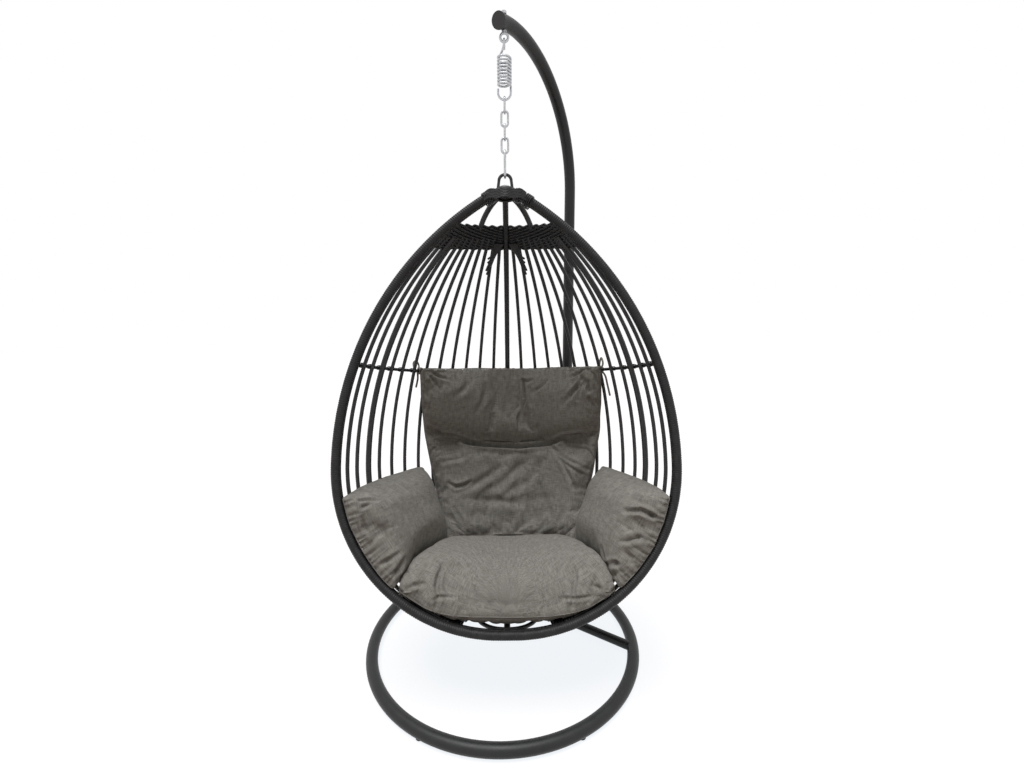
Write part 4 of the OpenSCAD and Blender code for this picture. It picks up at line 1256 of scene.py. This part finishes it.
def bolster_depth(a, k):
    return bolster_thick * (0.66 + 0.34 * a)


bolster_folds = {"left": [
    (3.5, 5, [(-428, 15, 915), (-410, 15, 902), (-388, 17, 894), (-365, 27, 896)]),
    (3.5, 4, [(-420, 15, 935), (-404, 15, 916), (-379, 17, 905)]),
    (4, 5, [(-416, 15, 945), (-406, 15, 965), (-395, 15, 992)]),
    (3.5, 4, [(-404, 18, 940), (-395, 18, 962), (-384, 18, 984)]),
    (4, 6, [(-318, 14, 1096), (-298, 14, 1080), (-286, 24, 1056)]),
    (4, 5, [(-330, 12, 1088), (-311, 12, 1077), (-296, 16, 1062)]),
    (4, 4, [(-345, 13, 1062), (-328, 13, 1058), (-302, 18, 1040)]),
    (10, 4, [(-381, 15, 949), (-339, 17, 991), (-310, 15, 1037)]),
    (9, 3, [(-330, 152, 856), (-284, 157, 887), (-255, 168, 935)])],
    "right": [
    (4, 8, [(340, 34, 932), (355, 24, 930), (379, 16, 927), (406, 14, 936), (424, 14, 946)]),
    (4.5, 6, [(322, 18, 1012), (340, 15, 1010), (367, 14, 1003), (392, 14, 1012)]),
    (4, 7, [(270, 70, 1078), (287, 54, 1081), (307, 13, 1068), (335, 13, 1080)]),
    (4, 5, [(292, 14, 1104), (306, 14, 1098), (325, 13, 1102)]),
    (7, 4, [(366, 15, 956), (380, 15, 975), (378, 15, 1005)]),
    (6, 4, [(326, 14, 1036), (342, 14, 1048), (350, 14, 1062)]),
    (5, 4, [(272, 60, 1040), (278, 49, 1063), (286, 30, 1090)]),
    (9, 3, [(344, 58, 882), (377, 18, 907), (404, 15, 914)])]}

bolsters = []
for word, sign in (("left", -1), ("right", 1)):
    outer, inner = pad_grid(bolster_place(sign), bolster_depth, bolster_sewn, bolster_rounds,
                            bolster_across, 34, bolster_clear)
    outer, inner = outer * [sign, 1, 1], inner * [sign, 1, 1]
    bolster = closed_mesh("bolster_" + word + "_pad", outer, inner, flip=sign < 0)
    stuffed(bolster, edge_points(outer), cap=0.010, growth=0.03)
    kept_in_basket(bolster)
    kept_clear(bolster, [back])
    made_up(bolster, "bolster_" + word, edge_points(outer), bolster_folds[word],
            [(17, 1.6, 30, outer[::4, 0] * 1000)], seed=20 + sign)
    bolsters.append(bolster)

# ---- Seat cushion ----
# A deep stuffed pad across the bowl, straight in front and round behind, crowned on top. It
# rests on the ribs and is tied to the basket by its front corners.
seat_w = 0.600
seat_l = 0.342
seat_h = 0.072
seat_clear = 0.002
rear_half = 0.345
seat_skew = 0.004
seat_round = 0.2
front_lift = 0.048
rear_lift = 0.024
seat_bridge = 0.75


def floor_depth(x, d):
    """Distance down to the basket's lining, which lies closer to the ribs beside the rim."""
    lining = shell_low - 0.016
    lining = lining + 2 * flush * np.clip((np.abs(x) - 0.06) / 0.1, 0, 1) * np.clip((0.08 - d) / 0.05, 0, 1)
    turn = np.arctan2(d / shell_k, np.abs(x))
    flat = rib_half(turn) - shell_low
    r = np.hypot(x, d)
    bowl = lining * np.sin(np.arccos(np.clip((r - flat) / lining, -1, 1)))
    return pod_up + np.where(r < flat, lining, bowl)


def seat_grid(across, deep):
    q, k = np.meshgrid(2 * eased(across) - 1, eased(deep))
    length = seat_l * (1 - seat_round * q * q)
    x = seat_skew * k + q * mix(seat_w / 2, seat_w * rear_half, k ** 1.4)
    d = length * k
    fq = full(q, 4.5)
    u = 2 * k - 1
    low = floor_depth(x, d) - seat_clear
    front = floor_depth(x, 0) - seat_clear
    rear = floor_depth(x, length) - rear_lift - seat_clear
    seam = mix(front - front_lift * np.clip(1 - (q / seat_bridge) ** 2, 0, None), rear, k)
    crown = mix(front - front_lift * fq, rear, k) - seat_h * fq
    top = np.stack([x, d, mix(seam, crown, full(u, 5))], -1)
    under = np.stack([x, d, mix(np.minimum(seam, low), low, np.where(u < 0, full(u, 20), full(u, 8)))], -1)
    return under, top


seat_folds = [
    (4, 6, [(-186, 60, 1086), (-186, 48, 1091), (-191, 28, 1106), (-195, 18, 1130), (-192, 16, 1159),
            (-190, 16, 1180)]),
    (3, 3, [(-229, 23, 1162), (-192, 16, 1159), (-145, 17, 1160)]),
    (4, 6, [(192, 50, 1092), (189, 26, 1110), (185, 18, 1135), (184, 16, 1164), (183, 16, 1182)]),
    (3, 3, [(148, 17, 1163), (187, 16, 1164), (240, 17, 1158)]),
    (4, 4, [(-285, 16, 1136), (-256, 16, 1129), (-229, 18, 1122)]),
    (4, 4, [(285, 16, 1142), (259, 17, 1137), (238, 17, 1129)]),
    (9, 3, [(-110, 120, 1089), (-21, 170, 1092), (70, 132, 1093)]),
    (9, 3, [(-4, 58, 1114), (16, 32, 1133), (18, 18, 1164)]),
    (8, 3, [(-128, 16, 1178), (-115, 24, 1203)]),
    (8, 3, [(107, 17, 1177), (93, 20, 1202)])]

under, top = seat_grid(70, 46)
seat = closed_mesh("cushion_seat", under, top, flip=False)
stuffed(seat, edge_points(under), cap=0.012, growth=0.05)
kept_in_basket(seat)
kept_clear(seat, [back, *bolsters])
made_up(seat, "seat_cushion", edge_points(under), seat_folds,
        [(16, 1.4, 24, under[::4, side] * 1000) for side in (0, -1)], seed=33)


# ---- Ties ----
# Cords of the cushions' cloth: one from each top corner of the back, hitched round the upper
# belt and tied in a bow, and one from each front corner of the seat, round the rear hoop.
cord_r = 0.0034
cord_gap = 0.001
seat_tie_x = 0.300


def hitch(centre, along, first, second, reach, turns):
    """Turns of cord round a rod, from its axis and two directions across it."""
    a = np.linspace(-0.5 * np.pi, (2 * turns - 0.5) * np.pi, 20 * turns)[:, None]
    step = 2.1 * cord_r * (a / (2 * np.pi) - turns / 2)
    return centre + along * step + reach * (first * np.cos(a) + second * np.sin(a))


def cord(name, centre, along, out, down, reach, strands, first=None):
    """A hitch and loose strands, given in mm along, out from and down from the rod's axis."""
    paths = [hitch(centre, along, out, down, reach, 2)]
    for strand in strands:
        paths.append(smooth_path([centre + along * p[0] / 1000 + out * p[1] / 1000 + down * p[2] / 1000
                                  for p in strand]))
    if first is not None:
        paths.append(smooth_path([first, mix(first, centre, 0.6), centre - out * reach]))
    cloth_part(sweep(name, [in_basket(path) for path in paths], Radius=cord_r, Step=0.003, Sides=8,
                     Material=cloth))


belt_ties = {
    "left": (19.4, [[(0, 10, -2), (-9, 13, -18), (0, 15, -36), (14, 14, -30), (13, 13, -12), (2, 11, -1)],
                    [(0, 10, 0), (14, 14, 4), (27, 14, -5), (36, 12, 3)],
                    [(0, 10, 0), (-5, 14, 26), (3, 13, 58)]]),
    "right": (6.3, [[(0, 10, -2), (7, 13, -20), (1, 15, -44), (-8, 14, -24), (-2, 11, -2)],
                    [(0, 10, 0), (12, 14, -8), (24, 13, 4)],
                    [(0, 10, 0), (-16, 15, 20), (-26, 15, 54), (-37, 14, 92)]])}
for word, corner in (("left", back_outer[0, -1]), ("right", back_outer[0, 0])):
    place, strands = belt_ties[word]
    turn = np.array([float(rib_turn(np.array(place)))])
    centre, out = belt_centre(turn, belt_depths["upper_belt"])
    centre, out = centre[0], out[0]
    side = np.array([-out[1], out[0], 0])
    cord("tie_back_" + word, centre, side, out, np.array([0, 0, 1.0]), belt_r + cord_r + cord_gap, strands,
         corner)

seat_ties = [[(0, -9, -4), (0, -20, -14), (8, -28, -21), (17, -36, -19)],
            [(0, -9, -4), (0, -20, -14), (-8, -27, -22), (-18, -31, -25)],
            [(0, -20, -14), (8, -28, -10), (0, -37, -9), (-8, -28, -10), (0, -20, -14)]]
for word, sign in (("left", -1), ("right", 1)):
    v = float(foot_angle(rim_half, rim_low, seat_tie_x))
    r, s = arc_point(rim_half, rim_low, v, -rear_in)
    cord("tie_seat_" + word, np.array([sign * float(r), rear_step, float(s)]),
         np.array([-sign * math.sin(v), 0, math.cos(v)]), np.array([sign * math.cos(v), 0, math.sin(v)]),
         np.array([0, 1.0, 0]), rear_r + cord_r + cord_gap, seat_ties)
